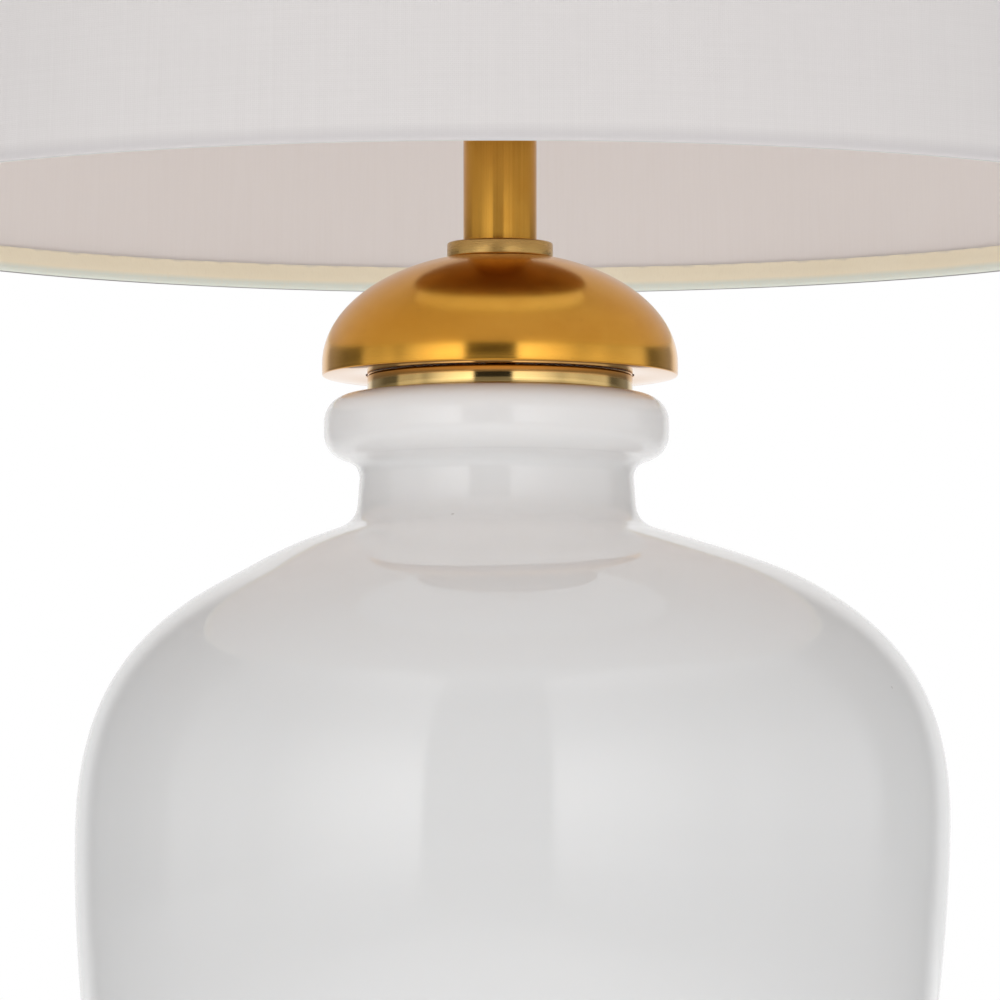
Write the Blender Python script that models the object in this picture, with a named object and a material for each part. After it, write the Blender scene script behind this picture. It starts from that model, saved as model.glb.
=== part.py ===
"""Table lamp: opal glass jar on a brass foot, brass dome neck, socket, harp and linen drum shade.

Blender 4.5 script, in metres, +Z up. The origin is under the middle of the felt pad, on the axis of the
threaded rod that clamps the lamp together. The harp lies in the XZ plane, the switch knob points to -Y and
the cord leaves the foot at +Y. Every sub-part is one closed solid in its own object.
"""

import math

import bmesh
import bpy
from mathutils import Vector

# ---------------------------------------------------------------- driving dimensions
GAP = 0.0003                      # clearance left between pieces that touch

FELT_RADIUS = 0.092
FELT_THICKNESS = 0.0015

FOOT_RADIUS = 0.098               # spun brass foot under the jar
FOOT_HEIGHT = 0.0162
FOOT_WALL = 0.0014
FOOT_EDGE_ROUND = 0.007
CORD_HOLE_HEIGHT = 0.0076         # height of the cord hole's axis in the foot's rear wall
CORD_HOLE_RADIUS = 0.0041

WEIGHT_BORE = 0.016
WEIGHT_RADIUS = 0.068
WEIGHT_HEIGHT = 0.0085
LOCK_WASHER_RADIUS = 0.0127
LOCK_WASHER_THICKNESS = 0.0012
LOCKNUT_FLATS = 0.0165
LOCKNUT_HEIGHT = 0.0042

SEAT_THICKNESS = 0.0012           # rubber ring under the jar
SEAT_INNER_RADIUS = 0.060
SEAT_OUTER_RADIUS = 0.078
JAR_HEIGHT = 0.320
JAR_RADIUS = 0.1317               # widest radius, at SHOULDER_DROP below the lip
JAR_WALL = 0.004
JAR_FLOOR = 0.006
JAR_HOLE_RADIUS = 0.008
LIP_RADIUS = 0.0522
LIP_ROUND = 0.0082
MOUTH_RADIUS = 0.0365
NECK_RADIUS = 0.0414
NECK_END_RADIUS = 0.0508          # where the neck's fillet meets the shoulder
NECK_DROP = 0.0414                # depth of that place below the top of the lip
SHOULDER_DROP = 0.1307
SHOULDER_REACH = 0.0557           # shoulder's Bezier handles: outwards from the neck, up from the body
SHOULDER_SLOPE = 0.319
SHOULDER_LIFT = 0.050
HEEL_HEIGHT = 0.022
JAR_NECK_SHIFT = -0.0010          # hand-blown glass: the neck sits a little to -X of the rod
JAR_BODY_SHIFT = 0.0047           # and the shoulder a little to +X
LEAN_START = 0.040                # depths between which the shift grows from the neck's to the shoulder's
LEAN_FULL = 0.056
LEAN_CURVE = 1.4                  # below the shoulder the shift fades to nothing at the floor
BODY_TAPER = 0.988                # the body narrows by this times the squared depth below the shoulder

ROD_RADIUS = 0.0048               # 1/8 IP lamp pipe, 9.6 mm over the threads
ROD_BORE = 0.0033
ROD_HOLE_RADIUS = ROD_RADIUS + GAP

COLLAR_RADIUS = 0.0401
COLLAR_HEIGHT = 0.0055            # lower brass ring, on the lip
SPACER_HEIGHT = 0.0075            # upper brass ring, under the dome
COLLAR_GROOVE = 0.0004            # shadow line between the two rings
COLLAR_RIM = 0.0013               # wall that stands on the lip, outside the gasket
GASKET_THICKNESS = 0.0011
EDGE_EASE = 0.0005                # broken edges of the turned brass rings
DOME_RADIUS = 0.0538
DOME_SKIRT = 0.0036               # straight wall at the dome's rim
DOME_ARCH = 0.0338                # height of the quarter ellipse above the skirt
DOME_WALL = 0.0012
DOME_FLANGE_RADIUS = 0.0405       # hole in the dome's flat turned-in flange, round the spacer
DOME_RIM_RISE = 0.0059            # dome rim above the lip
DOME_TOP_RISE = 0.0412            # flat top of the dome above the lip
CHECK_RING_RADIUS = 0.0160
CHECK_RING_HEIGHT = 0.0048
NECK_TUBE_RADIUS = 0.0111
NECK_TUBE_WALL = 0.0010
NECK_TUBE_LENGTH = 0.0420
PLATE_RADIUS = 0.0525             # flat plate on the tube, under the harp and socket
PLATE_THICKNESS = 0.0018
PLATE_ROUND = 0.0009
PLATE_HUB_RADIUS = 0.0123
PLATE_HUB_HEIGHT = 0.0022

SADDLE_THICKNESS = 0.0014
SADDLE_HALF_WIDTH = 0.0299        # middle of each upturned arm
SADDLE_ARM = 0.0165
SADDLE_NUT_HEIGHT = 0.0030
SADDLE_NUT_FLATS = 0.0140
HARP_HEIGHT = 0.2286              # a 9 inch harp, from its saddle to its top
HARP_HALF_WIDTH = 0.061
HARP_WIRE_RADIUS = 0.0016
HARP_LEG_X = 0.0326
STUD_FLANGE_RISE = 0.0040         # top of the stud's flange above the harp
STUD_POST = 0.0085                # threaded post above the spider's washer
STUD_POST_RADIUS = 0.0031
SLEEVE_X = 0.0317
SLEEVE_BORE = 0.0037
SLEEVE_RADIUS = 0.0047
SLEEVE_LENGTH = 0.013

SOCKET_RADIUS = 0.0172
SOCKET_CAP_HEIGHT = 0.0165
SOCKET_SHELL_HEIGHT = 0.0350
SOCKET_WALL = 0.0006
CORE_RADIUS = 0.0124              # moulded body of the socket, below its top flange
CORE_RISE = 0.0046                # its underside above the joint of cap and shell
KEY_RISE = 0.0080                 # switch spindle's axis above that joint
TERMINAL_RISE = 0.0078            # terminal screws' axes above that joint
SCREW_SHELL_RISE = 0.0132
BULB_SEAT_RISE = 0.0028           # bulb's contact above the bottom of the screw shell
KEY_HOLE_RADIUS = 0.0034
SPINDLE_RADIUS = 0.0018
KNOB_STAND_OFF = 0.0070           # spindle's length outside the shell
TERMINAL_SCREW_RADIUS = 0.0016

BULB_RADIUS = 0.0300
BULB_LENGTH = 0.104               # from the seat in the socket to the top of the globe

SHADE_RISE = 0.0526               # shade's lower rim above the lip
SHADE_HEIGHT = 0.2794             # 11 inches tall
SHADE_BOTTOM_RADIUS = 0.2176      # 17 inches across, over the fabric
SHADE_TOP_RADIUS = 0.2049         # 16 inches across
SHADE_FABRIC = 0.0006
SHADE_LINER = 0.0009
SHADE_WIRE = 0.0010
HEM_HEIGHT = 0.0080
HEM_THICKNESS = 0.0005
SPIDER_WASHER_RADIUS = 0.0125
SPIDER_WASHER_THICKNESS = 0.0016
SPIDER_ARM_RADIUS = 0.0016

BODY_SIDES = 36                   # facets round the jar and the brass spinnings
SHADE_SIDES = 48
RING_SIDES = 24                   # rings and tubes 20 to 70 mm across
SMALL_SIDES = 16

# ---------------------------------------------------------------- heights worked out from them
FOOT_BOTTOM = FELT_THICKNESS + GAP
FOOT_TOP = FOOT_BOTTOM + FOOT_HEIGHT
SEAT_BOTTOM = FOOT_TOP + GAP
JAR_BOTTOM = SEAT_BOTTOM + SEAT_THICKNESS + GAP
LIP_TOP = JAR_BOTTOM + JAR_HEIGHT
GASKET_TOP = LIP_TOP + GAP + GASKET_THICKNESS
COLLAR_TOP = LIP_TOP + COLLAR_HEIGHT
SPACER_BOTTOM = COLLAR_TOP + COLLAR_GROOVE
SPACER_TOP = SPACER_BOTTOM + SPACER_HEIGHT
DOME_RIM = LIP_TOP + DOME_RIM_RISE
DOME_TOP = LIP_TOP + DOME_TOP_RISE
CHECK_BOTTOM = DOME_TOP + GAP
CHECK_TOP = CHECK_BOTTOM + CHECK_RING_HEIGHT
TUBE_BOTTOM = CHECK_TOP + GAP
TUBE_TOP = TUBE_BOTTOM + NECK_TUBE_LENGTH
PLATE_BOTTOM = TUBE_TOP + GAP
PLATE_HUB_TOP = PLATE_BOTTOM + PLATE_HUB_HEIGHT
SADDLE_BOTTOM = PLATE_HUB_TOP + GAP
SADDLE_TOP = SADDLE_BOTTOM + SADDLE_THICKNESS
SADDLE_NUT_BOTTOM = SADDLE_TOP + GAP
SADDLE_NUT_TOP = SADDLE_NUT_BOTTOM + SADDLE_NUT_HEIGHT
SOCKET_BOTTOM = SADDLE_NUT_TOP + GAP
SOCKET_JOINT = SOCKET_BOTTOM + SOCKET_CAP_HEIGHT
SOCKET_TOP = SOCKET_JOINT + SOCKET_SHELL_HEIGHT
KEY_HEIGHT = SOCKET_JOINT + KEY_RISE
CORE_BOTTOM = SOCKET_JOINT + CORE_RISE
TERMINAL_HEIGHT = SOCKET_JOINT + TERMINAL_RISE
SCREW_SHELL_BOTTOM = SOCKET_JOINT + SCREW_SHELL_RISE
BULB_SEAT = SCREW_SHELL_BOTTOM + BULB_SEAT_RISE
HARP_TOP = SADDLE_TOP + HARP_HEIGHT
SHADE_BOTTOM = LIP_TOP + SHADE_RISE
STUD_FLANGE_TOP = HARP_TOP + STUD_FLANGE_RISE
WASHER_BOTTOM = STUD_FLANGE_TOP + GAP
WASHER_TOP = WASHER_BOTTOM + SPIDER_WASHER_THICKNESS
STUD_TOP = WASHER_TOP + STUD_POST
FINIAL_BOTTOM = WASHER_TOP + GAP


# ---------------------------------------------------------------- tools
def clear_scene():
    for thing in list(bpy.data.objects):
        bpy.data.objects.remove(thing, do_unlink=True)


def finish_material(name, colour, roughness, metallic):
    """A Principled material in the piece's own colour."""
    made = bpy.data.materials.new(name)
    made.use_nodes = True
    shader = made.node_tree.nodes["Principled BSDF"]
    shader.inputs["Base Color"].default_value = (*colour, 1.0)
    shader.inputs["Roughness"].default_value = roughness
    shader.inputs["Metallic"].default_value = metallic
    made.diffuse_color = (*colour, 1.0)
    return made


def place(name, shape, finish, parent=None, location=(0, 0, 0)):
    """Turns a bmesh into the named object. A piece with a parent is placed from the parent's origin."""
    bmesh.ops.recalc_face_normals(shape, faces=shape.faces)
    mesh = bpy.data.meshes.new(name)
    shape.to_mesh(mesh)
    shape.free()
    mesh.materials.append(finish)
    mesh.shade_smooth()
    mesh.set_sharp_from_angle(angle=math.radians(35))
    piece = bpy.data.objects.new(name, mesh)
    bpy.context.scene.collection.objects.link(piece)
    piece.parent = parent
    piece.location = location
    return piece


def pivot(name, location):
    """An empty on a joint's axis, which the pieces of a moving body hang from."""
    empty = bpy.data.objects.new(name, None)
    empty.empty_display_size = 0.01
    empty.location = location
    bpy.context.scene.collection.objects.link(empty)
    return empty


def turned(outline, sides):
    """Solid of revolution about Z from a closed outline of (radius, height) points."""
    shape = bmesh.new()
    corners = [shape.verts.new((radius, 0, height)) for radius, height in outline]
    edges = [shape.edges.new((a, b)) for a, b in zip(corners, corners[1:])]
    if outline[0][0] > 0 or outline[-1][0] > 0:
        edges.append(shape.edges.new((corners[-1], corners[0])))
    bmesh.ops.spin(
        shape,
        geom=corners + edges,
        cent=(0, 0, 0),
        axis=(0, 0, 1),
        angle=2 * math.pi,
        steps=sides,
        use_merge=True,
    )
    bmesh.ops.remove_doubles(shape, verts=shape.verts, dist=1e-6)
    return shape


def ring(inner, outer, bottom, top, sides):
    """Flat ring or tube with square edges."""
    return turned([(inner, bottom), (outer, bottom), (outer, top), (inner, top)], sides)


def eased_ring(inner, outer, bottom, top, ease, sides):
    """Flat ring whose outer edges are eased."""
    outline = [
        (inner, bottom),
        (outer - ease, bottom),
        (outer, bottom + ease),
        (outer, top - ease),
        (outer - ease, top),
        (inner, top),
    ]
    return turned(outline, sides)


def arc(centre, radii, start, end, steps):
    """Points on an elliptical arc. Angles are in degrees from +radius towards +height."""
    points = []
    for i in range(steps + 1):
        angle = math.radians(start + (end - start) * i / steps)
        points.append((centre[0] + radii[0] * math.cos(angle), centre[1] + radii[1] * math.sin(angle)))
    return points


def bezier(p0, p1, p2, p3, steps):
    """Points on a cubic Bezier curve."""
    points = []
    for i in range(steps + 1):
        t = i / steps
        weights = ((1 - t) ** 3, 3 * t * (1 - t) ** 2, 3 * t * t * (1 - t), t ** 3)
        points.append(
            tuple(sum(w * p[axis] for w, p in zip(weights, (p0, p1, p2, p3))) for axis in (0, 1))
        )
    return points


def hex_nut(across_flats, bore, bottom, top):
    """Hexagon nut with a round bore: both loops have two points a side, so they bridge cleanly."""
    shape = bmesh.new()
    loops = []
    for height in (bottom, top):
        outer = []
        inner = []
        for i in range(12):
            angle = math.radians(30 * i)
            reach = across_flats / 2 / (math.cos(math.radians(30)) if i % 2 else 1.0)
            outer.append(shape.verts.new((reach * math.cos(angle), reach * math.sin(angle), height)))
            inner.append(shape.verts.new((bore * math.cos(angle), bore * math.sin(angle), height)))
        loops.append((outer, inner))
    (outer_low, inner_low), (outer_high, inner_high) = loops
    for i in range(12):
        j = (i + 1) % 12
        shape.faces.new((outer_low[i], outer_low[j], outer_high[j], outer_high[i]))
        shape.faces.new((inner_low[j], inner_low[i], inner_high[i], inner_high[j]))
        shape.faces.new((outer_high[i], outer_high[j], inner_high[j], inner_high[i]))
        shape.faces.new((outer_low[j], outer_low[i], inner_low[i], inner_low[j]))
    return shape


def bent_bar(path, half_widths, half_thicknesses, sides):
    """Bar bent in the XZ plane: half_widths go along Y and half_thicknesses across the bar."""
    shape = bmesh.new()
    loops = []
    for i, (x, z) in enumerate(path):
        before = Vector(path[max(i - 1, 0)])
        after = Vector(path[min(i + 1, len(path) - 1)])
        along = (after - before).normalized()
        across = Vector((-along.y, along.x))
        loop = []
        for k in range(sides):
            angle = math.tau * (k + 0.5) / sides
            square = 1.0 if sides > 4 else math.sqrt(2.0)
            out = half_thicknesses[i] * square * math.cos(angle)
            side = half_widths[i] * square * math.sin(angle)
            loop.append(shape.verts.new((x + across.x * out, side, z + across.y * out)))
        loops.append(loop)
    for low, high in zip(loops, loops[1:]):
        for k in range(sides):
            j = (k + 1) % sides
            shape.faces.new((low[k], low[j], high[j], high[k]))
    shape.faces.new(loops[0][::-1])
    shape.faces.new(loops[-1])
    return shape


def rod_between(start, end, radius, sides):
    """Straight round rod with flat ends."""
    start = Vector(start)
    along = Vector(end) - start
    shape = bmesh.new()
    bmesh.ops.create_cone(
        shape, cap_ends=True, segments=sides, radius1=radius, radius2=radius, depth=along.length
    )
    turn = Vector((0, 0, 1)).rotation_difference(along).to_matrix().to_4x4()
    bmesh.ops.transform(shape, matrix=turn, verts=shape.verts)
    bmesh.ops.translate(shape, vec=start + along / 2, verts=shape.verts)
    return shape


def drill(piece, start, end, radius, sides=SMALL_SIDES):
    """Cuts a round hole through a piece with a hidden cutter."""
    cutter = place(piece.name + "_cutter", rod_between(start, end, radius, sides), piece.data.materials[0])
    cutter.hide_render = True
    cutter.display_type = "WIRE"
    cut = piece.modifiers.new("hole", "BOOLEAN")
    cut.operation = "DIFFERENCE"
    cut.solver = "EXACT"
    cut.object = cutter


def moved(outline, shift):
    """The same outline, raised by shift."""
    return [(radius, height + shift) for radius, height in outline]


# ---------------------------------------------------------------- foot
def make_foot(brass, steel, iron, rubber, felt):
    pad = [(0, 0), (FELT_RADIUS, 0), (FELT_RADIUS, FELT_THICKNESS), (0, FELT_THICKNESS)]
    place("felt_pad", turned(pad, BODY_SIDES), felt)
    make_foot_shell(brass)
    weight = ring(WEIGHT_BORE, WEIGHT_RADIUS, FOOT_BOTTOM + GAP, FOOT_BOTTOM + WEIGHT_HEIGHT, RING_SIDES)
    place("foot_weight", weight, iron)
    make_lock_washer("foot_washer", FOOT_TOP - FOOT_WALL, steel)
    make_locknut("foot_locknut", FOOT_TOP - FOOT_WALL, brass)
    make_cord_bushing(rubber)
    seat = ring(SEAT_INNER_RADIUS, SEAT_OUTER_RADIUS, SEAT_BOTTOM, SEAT_BOTTOM + SEAT_THICKNESS, BODY_SIDES)
    place("jar_seat_ring", seat, rubber)


def make_lock_washer(name, under, steel):
    """Washer on the rod, held against the underside of a spinning at the height under."""
    place(name, ring(ROD_HOLE_RADIUS, LOCK_WASHER_RADIUS, under - LOCK_WASHER_THICKNESS - GAP, under - GAP,
                     SMALL_SIDES), steel)


def make_locknut(name, under, finish):
    """Hexagon nut on the rod, below the washer that bears on the spinning at the height under."""
    top = under - LOCK_WASHER_THICKNESS - 2 * GAP
    place(name, hex_nut(LOCKNUT_FLATS, ROD_HOLE_RADIUS, top - LOCKNUT_HEIGHT, top), finish)


def make_foot_shell(brass):
    rounding = FOOT_EDGE_ROUND
    inner = FOOT_RADIUS - FOOT_WALL
    inner_round = rounding - FOOT_WALL
    outline = [(FOOT_RADIUS - 0.0008, FOOT_BOTTOM), (FOOT_RADIUS, FOOT_BOTTOM + 0.0012)]
    outline += arc((FOOT_RADIUS - rounding, FOOT_TOP - rounding), (rounding, rounding), 0, 90, 3)
    outline += [(ROD_HOLE_RADIUS, FOOT_TOP), (ROD_HOLE_RADIUS, FOOT_TOP - FOOT_WALL)]
    outline += arc((FOOT_RADIUS - rounding, FOOT_TOP - rounding), (inner_round, inner_round), 90, 0, 2)
    outline += [(inner, FOOT_BOTTOM)]
    shell = place("foot_shell", turned(outline, BODY_SIDES), brass)
    drill(shell, (0, FOOT_RADIUS - 0.006, CORD_HOLE_HEIGHT), (0, FOOT_RADIUS + 0.004, CORD_HOLE_HEIGHT),
          CORD_HOLE_RADIUS, 12)


def make_cord_bushing(rubber):
    """Grommet through the foot's rear wall: a flange on each side of the wall and a bore for the cord."""
    flange = 0.0053
    flange_thickness = 0.0015
    flange_ease = 0.0007
    neck = CORD_HOLE_RADIUS - GAP
    bore = 0.0029
    facet_sink = flange * math.tan(math.pi / BODY_SIDES)
    wall_in = -FOOT_WALL - facet_sink - GAP
    outline = [
        (bore, wall_in - flange_thickness),
        (flange, wall_in - flange_thickness),
        (flange, wall_in),
        (neck, wall_in),
        (neck, GAP),
        (flange, GAP),
        (flange - flange_ease, flange_thickness + GAP),
        (bore, flange_thickness + GAP),
    ]
    in_wall = (0, FOOT_RADIUS, CORD_HOLE_HEIGHT)
    bushing = place("cord_bushing", turned(outline, 12), rubber, location=in_wall)
    bushing.rotation_euler = (math.radians(-90), 0, 0)


# ---------------------------------------------------------------- jar
def jar_centre_shift(height):
    """How far the blown jar's centre line stands off the rod's axis at a height above its floor."""
    depth = JAR_HEIGHT - height
    t = min(max((depth - LEAN_START) / (LEAN_FULL - LEAN_START), 0.0), 1.0)
    blend = t * t * (3 - 2 * t)
    fall = max(depth - LEAN_FULL, 0.0) / (JAR_HEIGHT - LEAN_FULL)
    body = JAR_BODY_SHIFT * (1 - fall ** LEAN_CURVE)
    return JAR_NECK_SHIFT * (1 - blend) + body * blend


def body_radius(depth):
    """Radius of the jar's tapering lower body at a depth below the lip."""
    below = depth - SHOULDER_DROP
    return JAR_RADIUS - BODY_TAPER * below * below


def jar_shoulder(inset, steps):
    """Shoulder curve, from the neck's foot to the widest place. inset is the wall's thickness inside."""
    start = (NECK_END_RADIUS - inset * 0.6, -NECK_DROP - inset)
    end = (JAR_RADIUS - inset, -SHOULDER_DROP)
    reach = SHOULDER_REACH - inset * 0.5
    out = (start[0] + reach, start[1] - reach * SHOULDER_SLOPE)
    up = (end[0], end[1] + SHOULDER_LIFT)
    return bezier(start, out, up, end, steps)


def jar_outside():
    """From the mouth's inner edge over the lip, down the outside to the hole in the floor."""
    lip_centre = LIP_RADIUS - LIP_ROUND
    outline = [(MOUTH_RADIUS, -0.0025), (MOUTH_RADIUS + 0.0025, 0.0)]
    outline += arc((lip_centre, -LIP_ROUND), (LIP_ROUND, LIP_ROUND), 90, 0, 3)
    outline += arc((lip_centre, -0.0116), (LIP_ROUND, LIP_ROUND), 0, -80, 2)
    outline += [(NECK_RADIUS, -0.0245), (NECK_RADIUS + 0.0009, -0.0355), (NECK_RADIUS + 0.0032, -0.0393)]
    outline += jar_shoulder(0.0, 6)
    heel_depth = JAR_HEIGHT - HEEL_HEIGHT
    for i in range(1, 4):
        depth = SHOULDER_DROP + (heel_depth - SHOULDER_DROP) * i / 4
        outline.append((body_radius(depth), -depth))
    heel = (body_radius(heel_depth), -heel_depth)
    floor_edge = (heel[0] - 0.020, -JAR_HEIGHT)
    heel_handle = (heel[0] - 0.004, heel[1] - 0.012)
    floor_handle = (floor_edge[0] + 0.011, floor_edge[1])
    outline += bezier(heel, heel_handle, floor_handle, floor_edge, 3)
    outline.append((JAR_HOLE_RADIUS, -JAR_HEIGHT))
    return outline


def jar_inside():
    """From the hole in the floor up the inside to the mouth."""
    floor = -JAR_HEIGHT + JAR_FLOOR
    heel_depth = JAR_HEIGHT - HEEL_HEIGHT
    heel_radius = body_radius(heel_depth) - JAR_WALL
    outline = [(JAR_HOLE_RADIUS, floor), (heel_radius - 0.016, floor)]
    for i in range(2, 0, -1):
        depth = SHOULDER_DROP + (heel_depth - SHOULDER_DROP) * i / 2
        outline.append((body_radius(depth) - JAR_WALL, -depth))
    outline += jar_shoulder(JAR_WALL, 4)[::-1]
    outline.append((MOUTH_RADIUS, -NECK_DROP + 0.001))
    return outline


def make_jar(glass, rubber):
    outline = moved(jar_outside() + jar_inside(), JAR_HEIGHT)
    shape = turned(outline, BODY_SIDES)
    for corner in shape.verts:
        corner.co.x += jar_centre_shift(corner.co.z)
    place("glass_jar", shape, glass, location=(0, 0, JAR_BOTTOM))
    bush_radius = JAR_HOLE_RADIUS - GAP
    bush = ring(ROD_HOLE_RADIUS, bush_radius, JAR_BOTTOM + GAP, JAR_BOTTOM + JAR_FLOOR, SMALL_SIDES)
    place("jar_floor_bush", bush, rubber)


# ---------------------------------------------------------------- neck
def make_neck(brass, satin_brass, steel, rubber, plastic):
    rod_bottom = FOOT_BOTTOM + 0.0035
    rod_top = SOCKET_BOTTOM + 0.0075
    place("threaded_rod", ring(ROD_BORE, ROD_RADIUS, rod_bottom, rod_top, 12), steel)
    plug_radius = MOUTH_RADIUS - 0.002
    plug_bottom = LIP_TOP - 0.010
    place("mouth_plug", ring(ROD_HOLE_RADIUS, plug_radius, plug_bottom, GASKET_TOP, RING_SIDES), plastic)
    gasket_inner = MOUTH_RADIUS + 0.0005
    gasket_outer = COLLAR_RADIUS - COLLAR_RIM - 0.0004
    place("lip_gasket", ring(gasket_inner, gasket_outer, LIP_TOP + GAP, GASKET_TOP, RING_SIDES), rubber)
    make_neck_collar(satin_brass)
    spacer = eased_ring(ROD_HOLE_RADIUS, COLLAR_RADIUS, SPACER_BOTTOM, SPACER_TOP, EDGE_EASE, BODY_SIDES)
    place("collar_spacer", spacer, brass)
    nut_bottom = SPACER_TOP + GAP
    nut = hex_nut(LOCKNUT_FLATS, ROD_HOLE_RADIUS, nut_bottom, nut_bottom + LOCKNUT_HEIGHT)
    place("collar_locknut", nut, steel)
    make_dome(brass)
    make_lock_washer("dome_washer", DOME_TOP - DOME_WALL, steel)
    make_locknut("dome_locknut", DOME_TOP - DOME_WALL, steel)
    check = eased_ring(ROD_HOLE_RADIUS, CHECK_RING_RADIUS, CHECK_BOTTOM, CHECK_TOP, EDGE_EASE, RING_SIDES)
    place("check_ring", check, satin_brass)
    tube_inner = NECK_TUBE_RADIUS - NECK_TUBE_WALL
    place("neck_tube", ring(tube_inner, NECK_TUBE_RADIUS, TUBE_BOTTOM, TUBE_TOP, RING_SIDES), brass)
    make_socket_plate(brass)


def make_neck_collar(satin_brass):
    """Lower ring: a lid whose rim stands on the lip, round a recess for the gasket."""
    recess = GASKET_TOP + GAP
    outline = [
        (ROD_HOLE_RADIUS, recess),
        (COLLAR_RADIUS - COLLAR_RIM, recess),
        (COLLAR_RADIUS - COLLAR_RIM, LIP_TOP + GAP),
        (COLLAR_RADIUS, LIP_TOP + GAP),
        (COLLAR_RADIUS, COLLAR_TOP - EDGE_EASE),
        (COLLAR_RADIUS - EDGE_EASE, COLLAR_TOP),
        (ROD_HOLE_RADIUS, COLLAR_TOP),
    ]
    place("neck_collar", turned(outline, BODY_SIDES), satin_brass)


def make_dome(brass):
    """Spun cap: turned-in flange, short straight skirt, quarter ellipse, flat top under the check ring."""
    spring = DOME_RIM + DOME_SKIRT
    flat = math.degrees(math.asin((DOME_TOP - spring) / DOME_ARCH))
    inner_radius = DOME_RADIUS - DOME_WALL
    inner_arch = DOME_ARCH - DOME_WALL
    inner_flat = math.degrees(math.asin((DOME_TOP - DOME_WALL - spring) / inner_arch))
    outline = [(DOME_FLANGE_RADIUS, DOME_RIM), (DOME_RADIUS - EDGE_EASE, DOME_RIM)]
    outline += [(DOME_RADIUS, DOME_RIM + EDGE_EASE)]
    outline += arc((0, spring), (DOME_RADIUS, DOME_ARCH), 0, flat, 6)
    outline += [(ROD_HOLE_RADIUS, DOME_TOP), (ROD_HOLE_RADIUS, DOME_TOP - DOME_WALL)]
    outline += arc((0, spring), (inner_radius, inner_arch), inner_flat, 0, 4)
    outline += [(inner_radius, DOME_RIM + DOME_WALL), (DOME_FLANGE_RADIUS, DOME_RIM + DOME_WALL)]
    place("dome_cap", turned(outline, BODY_SIDES), brass)


def make_socket_plate(brass):
    """Flat plate with a rounded edge and a hub in the middle, where the harp's saddle bears."""
    low = PLATE_BOTTOM
    edge_centre = (PLATE_RADIUS - PLATE_ROUND, low + PLATE_ROUND)
    outline = [(ROD_HOLE_RADIUS, low)]
    outline += arc(edge_centre, (PLATE_ROUND, PLATE_ROUND), -90, 90, 4)
    outline += [
        (PLATE_HUB_RADIUS, low + PLATE_THICKNESS),
        (PLATE_HUB_RADIUS, PLATE_HUB_TOP),
        (ROD_HOLE_RADIUS, PLATE_HUB_TOP),
    ]
    place("socket_plate", turned(outline, BODY_SIDES), brass)


# ---------------------------------------------------------------- socket
def make_socket(brass, steel, card, phenolic, nickel):
    make_socket_cap(brass)
    make_socket_shell(brass)
    sleeve_outer = SOCKET_RADIUS - SOCKET_WALL - GAP
    sleeve_inner = sleeve_outer - 0.0007
    sleeve_shape = ring(sleeve_inner, sleeve_outer, SOCKET_JOINT + 0.0012, SOCKET_TOP - 0.0020, SMALL_SIDES)
    drill_key_hole(place("socket_sleeve", sleeve_shape, card), KEY_HOLE_RADIUS)
    make_socket_core(phenolic)
    make_screw_shell(nickel)
    contact = ring(0.0008, 0.0034, SCREW_SHELL_BOTTOM, SCREW_SHELL_BOTTOM + 0.0008, 8)
    place("centre_contact", contact, brass)
    make_terminal_screw("live_screw", 1, brass)
    make_terminal_screw("neutral_screw", -1, steel)


def drill_key_hole(piece, radius):
    """Hole for the switch spindle, from outside the shell to the core's blind bore."""
    drill(piece, (0, -0.0080, KEY_HEIGHT), (0, -SOCKET_RADIUS - 0.003, KEY_HEIGHT), radius, 12)


def make_socket_cap(brass):
    """Cup screwed on the rod's top end."""
    wall = SOCKET_WALL
    low = SOCKET_BOTTOM
    outline = [
        (ROD_HOLE_RADIUS, low),
        (0.0085, low),
        (0.0095, low + 0.0040),
        (0.0150, low + 0.0088),
        (SOCKET_RADIUS + 0.0010, low + 0.0118),
        (SOCKET_RADIUS + 0.0010, SOCKET_JOINT + 0.0030),
        (SOCKET_RADIUS + 0.0010 - wall, SOCKET_JOINT + 0.0030),
        (SOCKET_RADIUS + 0.0010 - wall, low + 0.0124),
        (0.0142, low + 0.0096),
        (0.0080, low + 0.0045),
        (ROD_HOLE_RADIUS, low + 0.0045),
    ]
    cap = place("socket_cap", turned(outline, SMALL_SIDES), brass)
    screw_height = low + 0.0022
    drill(cap, (0, 0.004, screw_height), (0, 0.012, screw_height), 0.0014, 8)
    screw = [(0, 0), (0.0011, 0), (0.0011, 0.0042), (0, 0.0042)]
    lock = place("cap_set_screw", turned(screw, 8), brass, location=(0, 0.0054, screw_height))
    lock.rotation_euler = (math.radians(-90), 0, 0)


def make_socket_shell(brass):
    """Brass barrel round the socket, open at the top, with a hole for the switch spindle."""
    wall = SOCKET_WALL
    outline = [
        (SOCKET_RADIUS, SOCKET_JOINT),
        (SOCKET_RADIUS, SOCKET_TOP - 0.0060),
        (SOCKET_RADIUS + 0.0006, SOCKET_TOP - 0.0045),
        (SOCKET_RADIUS, SOCKET_TOP - 0.0030),
        (SOCKET_RADIUS, SOCKET_TOP),
        (SOCKET_RADIUS - wall, SOCKET_TOP),
        (SOCKET_RADIUS - wall, SOCKET_JOINT),
    ]
    drill_key_hole(place("socket_shell", turned(outline, SMALL_SIDES), brass), KEY_HOLE_RADIUS)


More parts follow.
